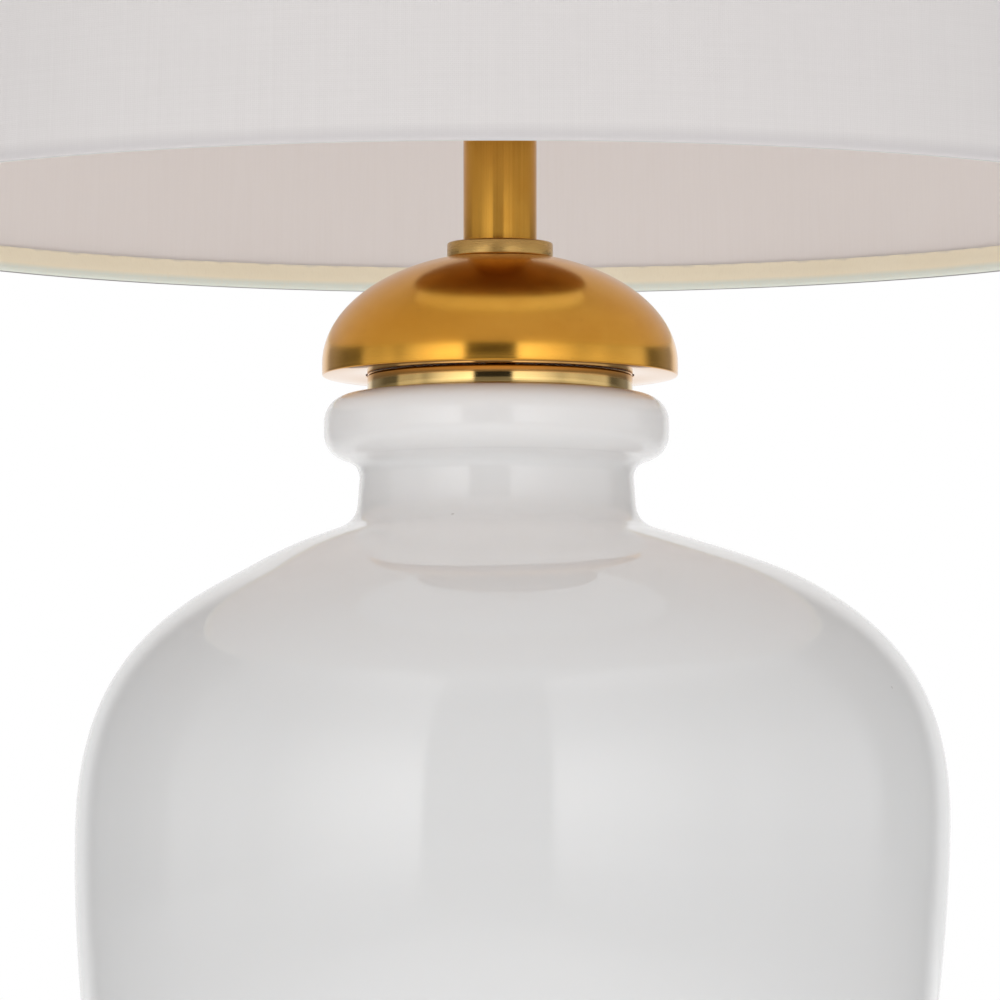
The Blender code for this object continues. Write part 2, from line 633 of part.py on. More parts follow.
def make_socket_core(phenolic):
    """Moulded body with the switch inside: blind bores for the spindle and both terminal screws."""
    top = SCREW_SHELL_BOTTOM - GAP
    step = top - 0.0014
    flange = 0.0150
    outline = [(0, CORE_BOTTOM), (CORE_RADIUS, CORE_BOTTOM), (CORE_RADIUS, step)]
    outline += [(flange, step), (flange, top), (0, top)]
    core = place("socket_core", turned(outline, SMALL_SIDES), phenolic)
    drill_key_hole(core, SPINDLE_RADIUS + 0.0004)
    for side in (1, -1):
        bore_start = (side * 0.0080, 0, TERMINAL_HEIGHT)
        bore_end = (side * SOCKET_RADIUS, 0, TERMINAL_HEIGHT)
        drill(core, bore_start, bore_end, TERMINAL_SCREW_RADIUS + GAP, 8)


def make_terminal_screw(name, side, finish):
    """Screw in the core's side, with its head clear of the card sleeve."""
    shank = 0.0030
    total = 0.0044
    thread = TERMINAL_SCREW_RADIUS
    head = 0.0027
    outline = [(0, 0), (thread, 0), (thread, shank), (head, shank), (head, total), (0, total)]
    start = CORE_RADIUS + GAP - shank
    screw = place(name, turned(outline, 8), finish, location=(side * start, 0, TERMINAL_HEIGHT))
    screw.rotation_euler = (0, math.radians(90 * side), 0)


def make_screw_shell(nickel):
    """Thin sleeve that the bulb screws into, with a flared top edge. Its thread is left out."""
    top = SCREW_SHELL_BOTTOM + 0.0186
    outer = [(0.0141, SCREW_SHELL_BOTTOM), (0.0141, top - 0.0012), (0.0147, top)]
    inner = [(radius - 0.0004, height) for radius, height in reversed(outer)]
    place("screw_shell", turned(outer + inner, SMALL_SIDES), nickel)


def make_switch(satin_brass, plastic):
    """Turn knob: a spindle into the core and a flat paddle outside the shell. It turns about the Y axis."""
    axis = pivot("switch_axis", (0, -SOCKET_RADIUS, KEY_HEIGHT))
    length = 0.0150
    pin = [(0, 0), (SPINDLE_RADIUS, 0), (SPINDLE_RADIUS, length), (0, length)]
    inner_end = length - KNOB_STAND_OFF
    spindle = place("switch_spindle", turned(pin, 10), satin_brass, parent=axis, location=(0, inner_end, 0))
    spindle.rotation_euler = (math.radians(90), 0, 0)
    half_thickness = 0.0017
    paddle = [
        (-0.0030, 0.0), (0.0030, 0.0), (0.0034, 0.0030), (0.0070, 0.0062), (0.0076, 0.0100),
        (0.0052, 0.0134), (0.0, 0.0146), (-0.0052, 0.0134), (-0.0076, 0.0100), (-0.0070, 0.0062),
        (-0.0034, 0.0030),
    ]
    shape = bmesh.new()
    front = [shape.verts.new((x, -out, -half_thickness)) for x, out in paddle]
    face = shape.faces.new(front)
    grown = bmesh.ops.extrude_face_region(shape, geom=[face])
    raised = [v for v in grown["geom"] if isinstance(v, bmesh.types.BMVert)]
    bmesh.ops.translate(shape, vec=(0, 0, 2 * half_thickness), verts=raised)
    place("switch_knob", shape, plastic, parent=axis, location=(0, -KNOB_STAND_OFF - GAP, 0))


# ---------------------------------------------------------------- bulb
def make_bulb(opal, plastic, nickel, brass):
    axis = pivot("bulb_axis", (0, 0, BULB_SEAT))
    globe_centre = BULB_LENGTH - BULB_RADIUS
    skin = 0.0012
    outer = arc((0, globe_centre), (BULB_RADIUS, BULB_RADIUS), 90, -25, 6)
    outer.append((0.0215, 0.0500))
    inner = [(0.0203, 0.0500)]
    inner += arc((0, globe_centre), (BULB_RADIUS - skin, BULB_RADIUS - skin), -25, 90, 5)
    outer[0] = (0, BULB_LENGTH)
    inner[-1] = (0, BULB_LENGTH - skin)
    place("bulb_globe", turned(outer + inner, 20), opal, parent=axis)
    housing = [(0, 0.0225), (0.0128, 0.0225), (0.0136, 0.0270), (0.0172, 0.0370)]
    housing += [(0.0214, 0.0497), (0, 0.0497)]
    place("bulb_housing", turned(housing, 20), plastic, parent=axis)
    cap = [(0, 0.0015), (0.0085, 0.0015), (0.0131, 0.0038), (0.0131, 0.0222), (0, 0.0222)]
    place("bulb_base", turned(cap, SMALL_SIDES), nickel, parent=axis)
    contact = [(0, 0), (0.0040, 0.0001), (0.0046, 0.0012), (0, 0.0012)]
    place("bulb_contact", turned(contact, 10), brass, parent=axis)


# ---------------------------------------------------------------- harp
def make_harp(brass, steel):
    middle = SADDLE_TOP - SADDLE_THICKNESS / 2
    path = [
        (-SADDLE_HALF_WIDTH, SADDLE_TOP + SADDLE_ARM),
        (-SADDLE_HALF_WIDTH, SADDLE_TOP + 0.0030),
        (-SADDLE_HALF_WIDTH + 0.0012, SADDLE_TOP + 0.0004),
        (-SADDLE_HALF_WIDTH + 0.0040, middle),
        (-0.0120, middle),
        (-0.0060, middle),
    ]
    path += [(-x, z) for x, z in reversed(path)]
    widths = [0.0020, 0.0020, 0.0022, 0.0030, 0.0085, 0.0095]
    widths += widths[::-1]
    saddle = place("harp_saddle", bent_bar(path, widths, [SADDLE_THICKNESS / 2] * len(path), 4), steel)
    drill(saddle, (0, 0, SADDLE_BOTTOM - 0.003), (0, 0, SADDLE_TOP + 0.003), ROD_HOLE_RADIUS)
    nut = hex_nut(SADDLE_NUT_FLATS, ROD_HOLE_RADIUS, SADDLE_NUT_BOTTOM, SADDLE_NUT_TOP)
    place("saddle_nut", nut, brass)
    make_harp_bow(steel)
    for name, side in (("harp_sleeve_left", -1), ("harp_sleeve_right", 1)):
        axis = pivot(name + "_axis", (side * SLEEVE_X, 0, SADDLE_TOP + 0.0036))
        place(name, ring(SLEEVE_BORE, SLEEVE_RADIUS, 0, SLEEVE_LENGTH, SMALL_SIDES), steel, parent=axis)


def make_harp_bow(steel):
    """Wire bow, flattened and holed at its top for the swivelling stud."""
    foot = SADDLE_TOP + 0.0042
    straight = SADDLE_TOP + 0.0340
    side = [(HARP_LEG_X, foot), (HARP_LEG_X, straight)]
    side += bezier((HARP_LEG_X, straight), (HARP_LEG_X, straight + 0.020),
                   (HARP_HALF_WIDTH, straight + 0.026), (HARP_HALF_WIDTH, straight + 0.062), 5)[1:]
    side += bezier((HARP_HALF_WIDTH, straight + 0.062), (HARP_HALF_WIDTH, straight + 0.125),
                   (0.030, HARP_TOP - 0.004), (0.010, HARP_TOP - 0.0010), 8)[1:]
    side.append((0.0060, HARP_TOP - 0.0009))
    path = [(-x, z) for x, z in side] + [(x, z) for x, z in reversed(side)]
    round_points = len(side) - 3
    half = [(HARP_WIRE_RADIUS, HARP_WIRE_RADIUS)] * round_points
    half += [(0.0019, 0.0014), (0.0036, 0.0010), (0.0052, 0.0009)]
    sections = half + half[::-1]
    shape = bent_bar(path, [w for w, _ in sections], [t for _, t in sections], 6)
    bow = place("harp_bow", shape, steel)
    drill(bow, (0, 0, HARP_TOP - 0.006), (0, 0, HARP_TOP + 0.004), 0.0024, 12)


# ---------------------------------------------------------------- shade
def wall_radius(height, inset=0.0):
    """Radius of the shade's slanting wall at a height above its lower rim."""
    share = height / SHADE_HEIGHT
    return SHADE_BOTTOM_RADIUS + (SHADE_TOP_RADIUS - SHADE_BOTTOM_RADIUS) * share - inset


def wall(low, high, inset, thickness):
    """Outline of a layer of the shade's wall."""
    return [
        (wall_radius(low, inset + thickness), low),
        (wall_radius(low, inset), low),
        (wall_radius(high, inset), high),
        (wall_radius(high, inset + thickness), high),
    ]


def hem(from_end):
    """Outline of the tape folded round a rim wire. from_end maps a depth from the rim to a height."""
    layer = SHADE_FABRIC + GAP
    tape = HEM_THICKNESS
    steps = [
        (layer, 0.0),
        (layer + 3.6e-3, 0.0),
        (layer + 3.8e-3, 0.0040),
        (layer + 2.1e-3, HEM_HEIGHT),
        (layer + 2.1e-3 - tape, HEM_HEIGHT),
        (layer + 3.6e-3 - tape, tape),
        (layer, tape),
    ]
    return [(wall_radius(from_end(depth), inset), from_end(depth)) for inset, depth in steps]


def make_shade(linen, liner, tape, steel, brass):
    axis = pivot("shade_axis", (0, 0, SHADE_BOTTOM))
    place("shade_fabric", turned(wall(0, SHADE_HEIGHT, 0, SHADE_FABRIC), SHADE_SIDES), linen, parent=axis)
    inset = SHADE_FABRIC + GAP
    low = 0.0040
    lining = wall(low, SHADE_HEIGHT - low, inset, SHADE_LINER)
    place("shade_liner", turned(lining, SHADE_SIDES), liner, parent=axis)
    wire_inset = SHADE_FABRIC + GAP + 0.0014
    for name, height in (("bottom_ring", 0.0020), ("top_ring", SHADE_HEIGHT - 0.0020)):
        section = arc((wall_radius(height, wire_inset), height), (SHADE_WIRE, SHADE_WIRE), 36, 324, 4)
        place(name, turned(section, SHADE_SIDES), steel, parent=axis)
    place("bottom_hem", turned(hem(lambda depth: depth), SHADE_SIDES), tape, parent=axis)
    place("top_hem", turned(hem(lambda depth: SHADE_HEIGHT - depth), SHADE_SIDES), tape, parent=axis)
    make_spider(steel, axis)
    make_harp_stud(brass, axis)


def make_spider(steel, axis):
    """Washer on the harp's stud and three arms that rise to the top ring."""
    washer_low = WASHER_BOTTOM - SHADE_BOTTOM
    washer_high = WASHER_TOP - SHADE_BOTTOM
    washer = ring(STUD_POST_RADIUS + 0.0005, SPIDER_WASHER_RADIUS, washer_low, washer_high, SMALL_SIDES)
    place("spider_washer", washer, steel, parent=axis)
    arm_start = SPIDER_WASHER_RADIUS + GAP
    hub_height = (washer_low + washer_high) / 2
    ring_clear = 0.0062
    end_height = SHADE_HEIGHT - ring_clear
    end_radius = wall_radius(end_height, ring_clear)
    for i in range(3):
        angle = math.radians(90 + 120 * i)
        direction = Vector((math.cos(angle), math.sin(angle), 0))
        start = direction * arm_start + Vector((0, 0, hub_height))
        end = direction * end_radius + Vector((0, 0, end_height))
        place(f"spider_arm_{i + 1}", rod_between(start, end, SPIDER_ARM_RADIUS, 8), steel, parent=axis)


def make_harp_stud(brass, axis):
    """Stud riveted loosely through the harp's top: head below, flange above, post for the finial."""
    lift = -SHADE_BOTTOM
    post = STUD_POST_RADIUS
    flat_low = HARP_TOP - 0.0018
    outline = [
        (0, flat_low - 0.0014),
        (0.0032, flat_low - 0.0012),
        (0.0034, flat_low - GAP),
        (0.0020, flat_low - GAP),
        (0.0020, HARP_TOP + GAP),
        (0.0060, HARP_TOP + GAP),
        (0.0062, STUD_FLANGE_TOP - 0.0004),
        (0.0058, STUD_FLANGE_TOP),
        (post, STUD_FLANGE_TOP),
        (post, STUD_TOP - 0.0006),
        (post - 0.0006, STUD_TOP),
        (0, STUD_TOP),
    ]
    place("harp_stud", turned(moved(outline, lift), 12), brass, parent=axis)


def make_finial(satin_brass):
    """Turned finial with a blind threaded bore: round foot, waist, ball and small tip."""
    axis = pivot("finial_axis", (0, 0, FINIAL_BOTTOM))
    bore = 0.0034
    ball_centre = 0.0178
    ball = 0.0078
    outline = [(0, 0.0094), (bore, 0.0092), (bore, 0.0), (0.0078, 0.0), (0.0085, 0.0012), (0.0078, 0.0026)]
    outline += [(0.0048, 0.0050), (0.0044, 0.0092)]
    outline += arc((0, ball_centre), (ball, ball), -50, 62, 5)
    outline += [(0.0026, ball_centre + 0.0088), (0, ball_centre + 0.0096)]
    place("finial", turned(outline, SMALL_SIDES), satin_brass, parent=axis)


# ---------------------------------------------------------------- the lamp
def make_lamp():
    brass = finish_material("antique_brass", (0.58, 0.32, 0.09), 0.26, 1.0)
    satin_brass = finish_material("satin_brass", (0.60, 0.40, 0.16), 0.34, 1.0)
    steel = finish_material("plated_steel", (0.62, 0.62, 0.62), 0.35, 1.0)
    nickel = finish_material("nickel_plate", (0.70, 0.69, 0.66), 0.25, 1.0)
    iron = finish_material("cast_weight", (0.10, 0.10, 0.10), 0.7, 0.6)
    glass = finish_material("opal_glass", (0.80, 0.80, 0.79), 0.08, 0.0)
    opal = finish_material("bulb_opal", (0.85, 0.85, 0.83), 0.35, 0.0)
    rubber = finish_material("black_rubber", (0.03, 0.03, 0.03), 0.7, 0.0)
    plastic = finish_material("ivory_plastic", (0.80, 0.78, 0.72), 0.4, 0.0)
    dark_plastic = finish_material("black_phenolic", (0.03, 0.03, 0.03), 0.35, 0.0)
    felt = finish_material("brown_felt", (0.10, 0.06, 0.04), 0.95, 0.0)
    card = finish_material("grey_card", (0.30, 0.28, 0.25), 0.9, 0.0)
    linen = finish_material("white_linen", (0.75, 0.73, 0.71), 0.9, 0.0)
    liner = finish_material("shade_lining", (0.62, 0.55, 0.52), 0.6, 0.0)
    tape = finish_material("hem_tape", (0.76, 0.66, 0.48), 0.9, 0.0)

    make_foot(brass, steel, iron, rubber, felt)
    make_jar(glass, rubber)
    make_neck(brass, satin_brass, steel, rubber, plastic)
    make_socket(brass, steel, card, dark_plastic, nickel)
    make_switch(satin_brass, dark_plastic)
    make_bulb(opal, plastic, nickel, brass)
    make_harp(brass, steel)
    make_shade(linen, liner, tape, steel, brass)
    make_finial(satin_brass)


clear_scene()
make_lamp()
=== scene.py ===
"""Looks of the table lamp: fine turned surfaces, woven shade, materials, light and camera.

Metres, +Z up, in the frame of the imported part. The lamp's axis is Z and the photograph's side is -Y.
"""

import functools
import math

import bmesh
import bpy
from mathutils import Matrix, Vector


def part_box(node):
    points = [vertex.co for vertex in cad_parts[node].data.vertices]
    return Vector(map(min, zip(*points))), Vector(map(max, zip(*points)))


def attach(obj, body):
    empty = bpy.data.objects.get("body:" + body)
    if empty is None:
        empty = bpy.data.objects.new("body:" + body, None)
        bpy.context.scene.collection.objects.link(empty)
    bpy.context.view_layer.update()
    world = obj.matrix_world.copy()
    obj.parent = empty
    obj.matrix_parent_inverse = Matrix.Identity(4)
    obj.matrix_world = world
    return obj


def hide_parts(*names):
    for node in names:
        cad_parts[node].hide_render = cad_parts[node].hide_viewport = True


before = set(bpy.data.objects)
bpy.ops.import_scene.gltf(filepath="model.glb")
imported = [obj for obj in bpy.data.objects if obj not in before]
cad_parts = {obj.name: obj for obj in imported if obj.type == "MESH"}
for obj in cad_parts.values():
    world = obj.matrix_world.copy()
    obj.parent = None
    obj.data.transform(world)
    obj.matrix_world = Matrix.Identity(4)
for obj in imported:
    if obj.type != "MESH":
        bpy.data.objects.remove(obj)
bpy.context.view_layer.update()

# ---------------------------------------------------------------- sizes that the nodes' boxes don't give
FOOT_WALL = 0.0014
FOOT_EDGE_ROUND = 0.007
CORD_HOLE_RADIUS = 0.0041
CORD_HOLE_HEIGHT = 0.0076

JAR_WALL = 0.004
JAR_FLOOR = 0.006
JAR_HOLE_RADIUS = 0.008
LIP_RADIUS = 0.0522
LIP_ROUND = 0.0082
MOUTH_RADIUS = 0.0365
NECK_RADIUS = 0.0414
NECK_END_RADIUS = 0.0508
NECK_DROP = 0.0414                # depths are below the top of the lip
SHOULDER_DROP = 0.1307
SHOULDER_REACH = 0.0557           # shoulder's Bezier handles
SHOULDER_SLOPE = 0.319
SHOULDER_LIFT = 0.050
JAR_RADIUS = 0.1317
BODY_TAPER = 0.988
HEEL_HEIGHT = 0.022
JAR_NECK_SHIFT = -0.0010          # the blown jar's centre line leans off the rod's axis
JAR_BODY_SHIFT = 0.0047
LEAN_START = 0.040
LEAN_FULL = 0.056
LEAN_CURVE = 1.4
JAR_WAVE = 0.00016                # slow waves that blowing leaves in the glass

ROD_HOLE_RADIUS = 0.0051
COLLAR_RIM = 0.0013
DOME_SKIRT = 0.0036
DOME_ARCH = 0.0338
DOME_WALL = 0.0012
DOME_FLANGE_RADIUS = 0.0405
PLATE_THICKNESS = 0.0018
PLATE_HUB_RADIUS = 0.0123
NECK_TUBE_WALL = 0.0010

SADDLE_HALF_WIDTH = 0.0299
SADDLE_THICKNESS = 0.0014
HARP_HALF_WIDTH = 0.061
HARP_LEG_X = 0.0326
HARP_WIRE_RADIUS = 0.0016

SOCKET_RADIUS = 0.0172
SOCKET_WALL = 0.0006
KEY_HOLE_RADIUS = 0.0034
THREAD_PITCH = 0.00363            # E26: seven threads an inch
BULB_RADIUS = 0.0300

SHADE_BOTTOM_RADIUS = 0.2176
SHADE_TOP_RADIUS = 0.2049
FABRIC_THICKNESS = 0.0006
LINER_THICKNESS = 0.0009
LAYER_GAP = 0.0003
SHEET_LAP = 0.012                 # width of the glued laps at the back
RIM_WIRE_RADIUS = 0.0010
HEM_HEIGHT = 0.0080
HEM_ROUND = 0.0019                # tape rolled round the rim wire
HEM_INSET = FABRIC_THICKNESS + 0.0008
LINER_INSET = FABRIC_THICKNESS + LAYER_GAP

HUGE_SIDES = 288
BIG_SIDES = 192
RING_SIDES = 96
SMALL_SIDES = 48

# ---------------------------------------------------------------- camera and studio
CAMERA_PLACE = (0.0, -2.71, 0.102)
CAMERA_PITCH = 4.35               # degrees upwards
CAMERA_LENS = 324.0
LIGHT_DISTANCE = 1.5
LIGHT_HEIGHT = 2.2
LIGHT_FOOT = (0.0, 0.14, 0.0, 1.0)
LIGHT_FADE = (0.18, 0.52, 1.0, 0.42)
WORLD_SIDE = 0.16
WORLD_FRONT = 0.035
WORLD_CORNER = 0.32
WORLD_TOP = 0.85
WORLD_BACK = 0.95
FLOOR_GLOW = 0.82
SHADE_LIGHT = 0.64
SHADE_LIGHT_RADIUS = 0.10
SHADE_LIGHT_HEIGHT = 0.53


# ---------------------------------------------------------------- outlines
def spaced(start, end, steps):
    """Evenly spaced values from start to end, one more than there are steps."""
    return [start + (end - start) * i / steps for i in range(steps + 1)]


def arc(centre, radii, start, end, steps):
    """Points on an elliptical arc. Angles are in degrees from +radius towards +height."""
    points = []
    for degrees in spaced(start, end, steps):
        angle = math.radians(degrees)
        points.append((centre[0] + radii[0] * math.cos(angle), centre[1] + radii[1] * math.sin(angle)))
    return points


def bezier(p0, p1, p2, p3, steps):
    """Points on a cubic Bezier curve, in the plane of an outline."""
    points = []
    for t in spaced(0.0, 1.0, steps):
        weights = ((1 - t) ** 3, 3 * t * (1 - t) ** 2, 3 * t * t * (1 - t), t ** 3)
        points.append(tuple(sum(w * p[axis] for w, p in zip(weights, (p0, p1, p2, p3))) for axis in (0, 1)))
    return points


def moved(outline, shift):
    """The same outline, raised by shift."""
    return [(radius, height + shift) for radius, height in outline]


def square_ring(inner, outer, low, high):
    """Outline of a flat ring or a tube."""
    return [(inner, low), (outer, low), (outer, high), (inner, high)]


def smoothstep(low, high, value):
    t = min(max((value - low) / (high - low), 0.0), 1.0)
    return t * t * (3 - 2 * t)


# ---------------------------------------------------------------- mesh tools
def placed(name, data):
    """New object in the scene, at the origin."""
    thing = bpy.data.objects.new(name, data)
    bpy.context.scene.collection.objects.link(thing)
    return thing


def finish_mesh(name, points, faces, smooth_angle=40):
    """Object from points and faces: smooth except at its sharp edges, with its faces pointing out."""
    mesh = bpy.data.meshes.new(name)
    mesh.from_pydata(points, [], faces)
    shape = bmesh.new()
    shape.from_mesh(mesh)
    bmesh.ops.remove_doubles(shape, verts=shape.verts, dist=1e-7)
    bmesh.ops.recalc_face_normals(shape, faces=shape.faces)
    shape.to_mesh(mesh)
    shape.free()
    mesh.shade_smooth()
    mesh.set_sharp_from_angle(angle=math.radians(smooth_angle))
    return placed(name, mesh)


def band(start, count, step):
    """Faces between the loop of count points from start on and the loop that lies step points further on."""
    faces = []
    for k in range(count):
        j = (k + 1) % count
        faces.append([start + k, start + j, start + step + j, start + step + k])
    return faces


def skinned(name, points, count, smooth_angle=40):
    """Solid through closed loops of count points each, with a flat face on its first and its last loop."""
    last = len(points) - count
    faces = [list(range(count))[::-1], list(range(last, len(points)))]
    for start in range(0, last, count):
        faces += band(start, count, count)
    return finish_mesh(name, points, faces, smooth_angle)


def turned(name, outline, sides, shift=None):
    """Solid of revolution about Z from a closed outline. shift(height, angle) gives (x, y, growth)."""
    points = []
    faces = []
    count = len(outline)
    for k in range(sides):
        angle = math.tau * k / sides
        for radius, height in outline:
            x, y, growth = shift(height, angle) if shift else (0.0, 0.0, 0.0)
            reach = radius + growth if radius > 0 else 0.0
            points.append((reach * math.cos(angle) + x, reach * math.sin(angle) + y, height))
    for k in range(sides):
        here = k * count
        there = (k + 1) % sides * count
        for i in range(count):
            j = (i + 1) % count
            on_axis = (outline[i][0] == 0, outline[j][0] == 0)
            if on_axis == (True, True):
                continue
            corners = [here + i, there + i, there + j, here + j]
            if on_axis[0]:
                corners = [here + i, there + j, here + j]
            if on_axis[1]:
                corners = [here + i, there + i, here + j]
            faces.append(corners)
    return finish_mesh(name, points, faces)


def swept(name, path, sections, sides=20):
    """Closed bar along a path of points, with a (half width, half thickness) at each point."""
    points = []
    for i, here in enumerate(path):
        before = Vector(path[max(i - 1, 0)])
        after = Vector(path[min(i + 1, len(path) - 1)])
        along = (after - before).normalized()
        side = Vector((0, 1, 0)) if abs(along.y) < 0.7 else Vector((1, 0, 0))
        across = along.cross(side).normalized()
        side = across.cross(along).normalized()
        half_width, half_thickness = sections[i]
        for k in range(sides):
            angle = math.tau * k / sides
            offset = side * half_width * math.sin(angle) + across * half_thickness * math.cos(angle)
            points.append(tuple(Vector(here) + offset))
    return skinned(name, points, sides, 50)


def apply_modifiers(piece):
    """The evaluated mesh becomes the piece's own, with no modifier left."""
    bpy.context.view_layer.update()
    evaluated = piece.evaluated_get(bpy.context.evaluated_depsgraph_get())
    mesh = bpy.data.meshes.new_from_object(evaluated)
    piece.modifiers.clear()
    piece.data = mesh
    return piece


def softened(piece, width, segments=3):
    """Rounds the sharp edges by width."""
    bevel = piece.modifiers.new("edges", "BEVEL")
    bevel.width = width
    bevel.segments = segments
    bevel.limit_method = "ANGLE"
    bevel.angle_limit = math.radians(32)
    apply_modifiers(piece)
    piece.data.shade_smooth()
    piece.data.set_sharp_from_angle(angle=math.radians(45))
    return piece


def cut(piece, start, end, radius, sides=32):
    """Drills a round hole through the piece."""
    start = Vector(start)
    along = Vector(end) - start
    shape = bmesh.new()
    bmesh.ops.create_cone(
        shape, cap_ends=True, segments=sides, radius1=radius, radius2=radius, depth=along.length
    )
    turn = Vector((0, 0, 1)).rotation_difference(along).to_matrix().to_4x4()
    bmesh.ops.transform(shape, matrix=turn, verts=shape.verts)
    bmesh.ops.translate(shape, vec=start + along / 2, verts=shape.verts)
    mesh = bpy.data.meshes.new("drill")
    shape.to_mesh(mesh)
    shape.free()
    cutter = placed("drill", mesh)
    boolean = piece.modifiers.new("hole", "BOOLEAN")
    boolean.operation = "DIFFERENCE"
    boolean.solver = "EXACT"
    boolean.object = cutter
    apply_modifiers(piece)
    bpy.data.objects.remove(cutter)
    return piece


def set_down(piece, place, degrees):
    """Turns about X, then moves the piece's own points, so that its object stays at the origin."""
    piece.data.transform(Matrix.Translation(place) @ Matrix.Rotation(math.radians(degrees), 4, "X"))


def dress(piece, material, node, body="base"):
    """Gives the piece its material and body, and hides the CAD node it stands for."""
    piece.data.materials.clear()
    piece.data.materials.append(material)
    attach(piece, body)
    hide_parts(node)
    return piece


def lathe(node, outline, sides, material, edge=0.0, segments=3, body="base", shift=None, seat=None):
    """Fine version of a turned CAD node, its sharp edges rounded by edge. seat holds set_down's values."""
    piece = turned(node + "_fine", outline, sides, shift)
    if edge:
        softened(piece, edge, segments)
    if seat:
        set_down(piece, *seat)
    return dress(piece, material, node, body)


def levels(node):
    """Lowest and highest height of a CAD node."""
    low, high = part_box(node)
    return low.z, high.z


def reach(node):
    """Radius of a CAD node that is turned about the lamp's axis."""
    low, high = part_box(node)
    return max(abs(low.x), abs(high.x))


def middle(node):
    """Middle of a CAD node's box."""
    low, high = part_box(node)
    return (low + high) / 2


# ---------------------------------------------------------------- node trees
class Nodes:
    """A node tree and short ways to add nodes to it."""

    def __init__(self, tree):
        self.tree = tree

    def put(self, socket, value):
        if isinstance(value, bpy.types.NodeSocket):
            self.tree.links.new(value, socket)
        else:
            socket.default_value = value

    def node(self, kind, inputs=None, **settings):
        made = self.tree.nodes.new("ShaderNode" + kind)
        for key, value in settings.items():
            setattr(made, key, value)
        for key, value in (inputs or {}).items():
            self.put(made.inputs[key], value)
        return made

    def math(self, operation, a, b=0.0):
        return self.node("Math", {0: a, 1: b}, operation=operation).outputs[0]

    def product(self, a, b):
        return self.math("MULTIPLY", a, b)

    def span(self, value, low, high, to_low, to_high, **settings):
        """Maps low..high to to_low..to_high, held at both ends."""
        stops = {0: value, 1: low, 2: high, 3: to_low, 4: to_high}
        return self.node("MapRange", stops, **settings).outputs[0]

    def fade(self, value, low, high, to_low=0.0, to_high=1.0):
        """The same as span, but with a smooth start and end."""
        return self.span(value, low, high, to_low, to_high, interpolation_type="SMOOTHSTEP")

    def blend(self, factor, a, b):
        return self.node("Mix", {0: factor, 2: a, 3: b}, data_type="FLOAT").outputs[0]


class Surface(Nodes):
    """A Principled material."""

    def __init__(self, name):
        self.material = bpy.data.materials.new(name)
        self.material.use_nodes = True
        super().__init__(self.material.node_tree)
        self.shader = self.tree.nodes["Principled BSDF"]

    @functools.cached_property
    def place(self):
        """The point in the piece's own frame, in metres."""
        return self.node("TexCoord").outputs["Object"]

    @functools.cached_property
    def around(self):
        """The point's x and y on the unit circle about Z, its radius and its height."""
        x, y, z = self.node("SeparateXYZ", {0: self.place}).outputs
        squares = self.math("ADD", self.product(x, x), self.product(y, y))
        radius = self.math("MAXIMUM", self.math("SQRT", squares), 1e-5)
        return self.math("DIVIDE", x, radius), self.math("DIVIDE", y, radius), radius, z

    def noise(self, scale, detail=3.0, roughness=0.5, vector=None, **more):
        """Noise with a scale per metre, from 0 to 1."""
        kind = {"noise_dimensions": "4D"} if more else {}
        made = self.node("TexNoise", None, **kind)
        inputs = {"Vector": vector or self.place, "Scale": scale, "Detail": detail, "Roughness": roughness}
        for key, value in {**inputs, **more}.items():
            self.put(made.inputs[key], value)
        return made.outputs[0]

    def stretched_noise(self, scales, *how):
        """Noise with its own scale on each axis as well."""
        mapped = self.node("Mapping", {"Vector": self.place, "Scale": scales})
        return self.noise(*how, vector=mapped.outputs[0])

    def ring_noise(self, across, along, detail, roughness, **more):
        """Noise wrapped round the Z axis, with one scale round it and another along it."""
        cosine, sine, _, height = self.around
        ring = self.node("CombineXYZ", {
            0: self.product(cosine, across), 1: self.product(sine, across), 2: self.product(height, along),
        })
        return self.noise(1.0, detail, roughness, ring.outputs[0], **more)

    def lathe_lines(self, fine, spread=3.0):
        """Lines round the Z axis, as a tool leaves them. Fine is their scale per metre."""
        return self.ring_noise(spread, fine, 4.0, 0.6, W=self.product(self.around[2], fine))

    def mix(self, factor, a, b):
        made = self.node("Mix", {0: factor}, data_type="RGBA")
        for index, value in ((6, a), (7, b)):
            self.put(made.inputs[index], value if isinstance(value, bpy.types.NodeSocket) else (*value, 1.0))
        return made.outputs[2]

    def tint(self, colour, value, low, high, other, most=1.0):
        """Mixes the other colour in, up to most, as the value goes from low to high."""
        return self.mix(self.span(value, low, high, 0.0, most), colour, other)

    def bump(self, height, strength, distance):
        return self.node("Bump", {"Height": height, "Strength": strength, "Distance": distance}).outputs[0]

    def finish(self, **sockets):
        """Sets the shader's sockets: base_color=... for Base Color."""
        for key, value in sockets.items():
            name = key.replace("_", " ").title().replace("Ior", "IOR")
            if isinstance(value, tuple) and len(value) == 3 and "Radius" not in name:
                value = (*value, 1.0)
            self.put(self.shader.inputs[name], value)
        return self.material


# ---------------------------------------------------------------- materials
FLANGE_LEVEL = levels("dome_cap")[0]
SHADE_LEVELS = levels("shade_fabric")
PAINTED_NECK_LIGHT_HEIGHTS = (0.19, 0.30)     # heights between which the jar's colour is painted lighter, for light on its shoulder and neck
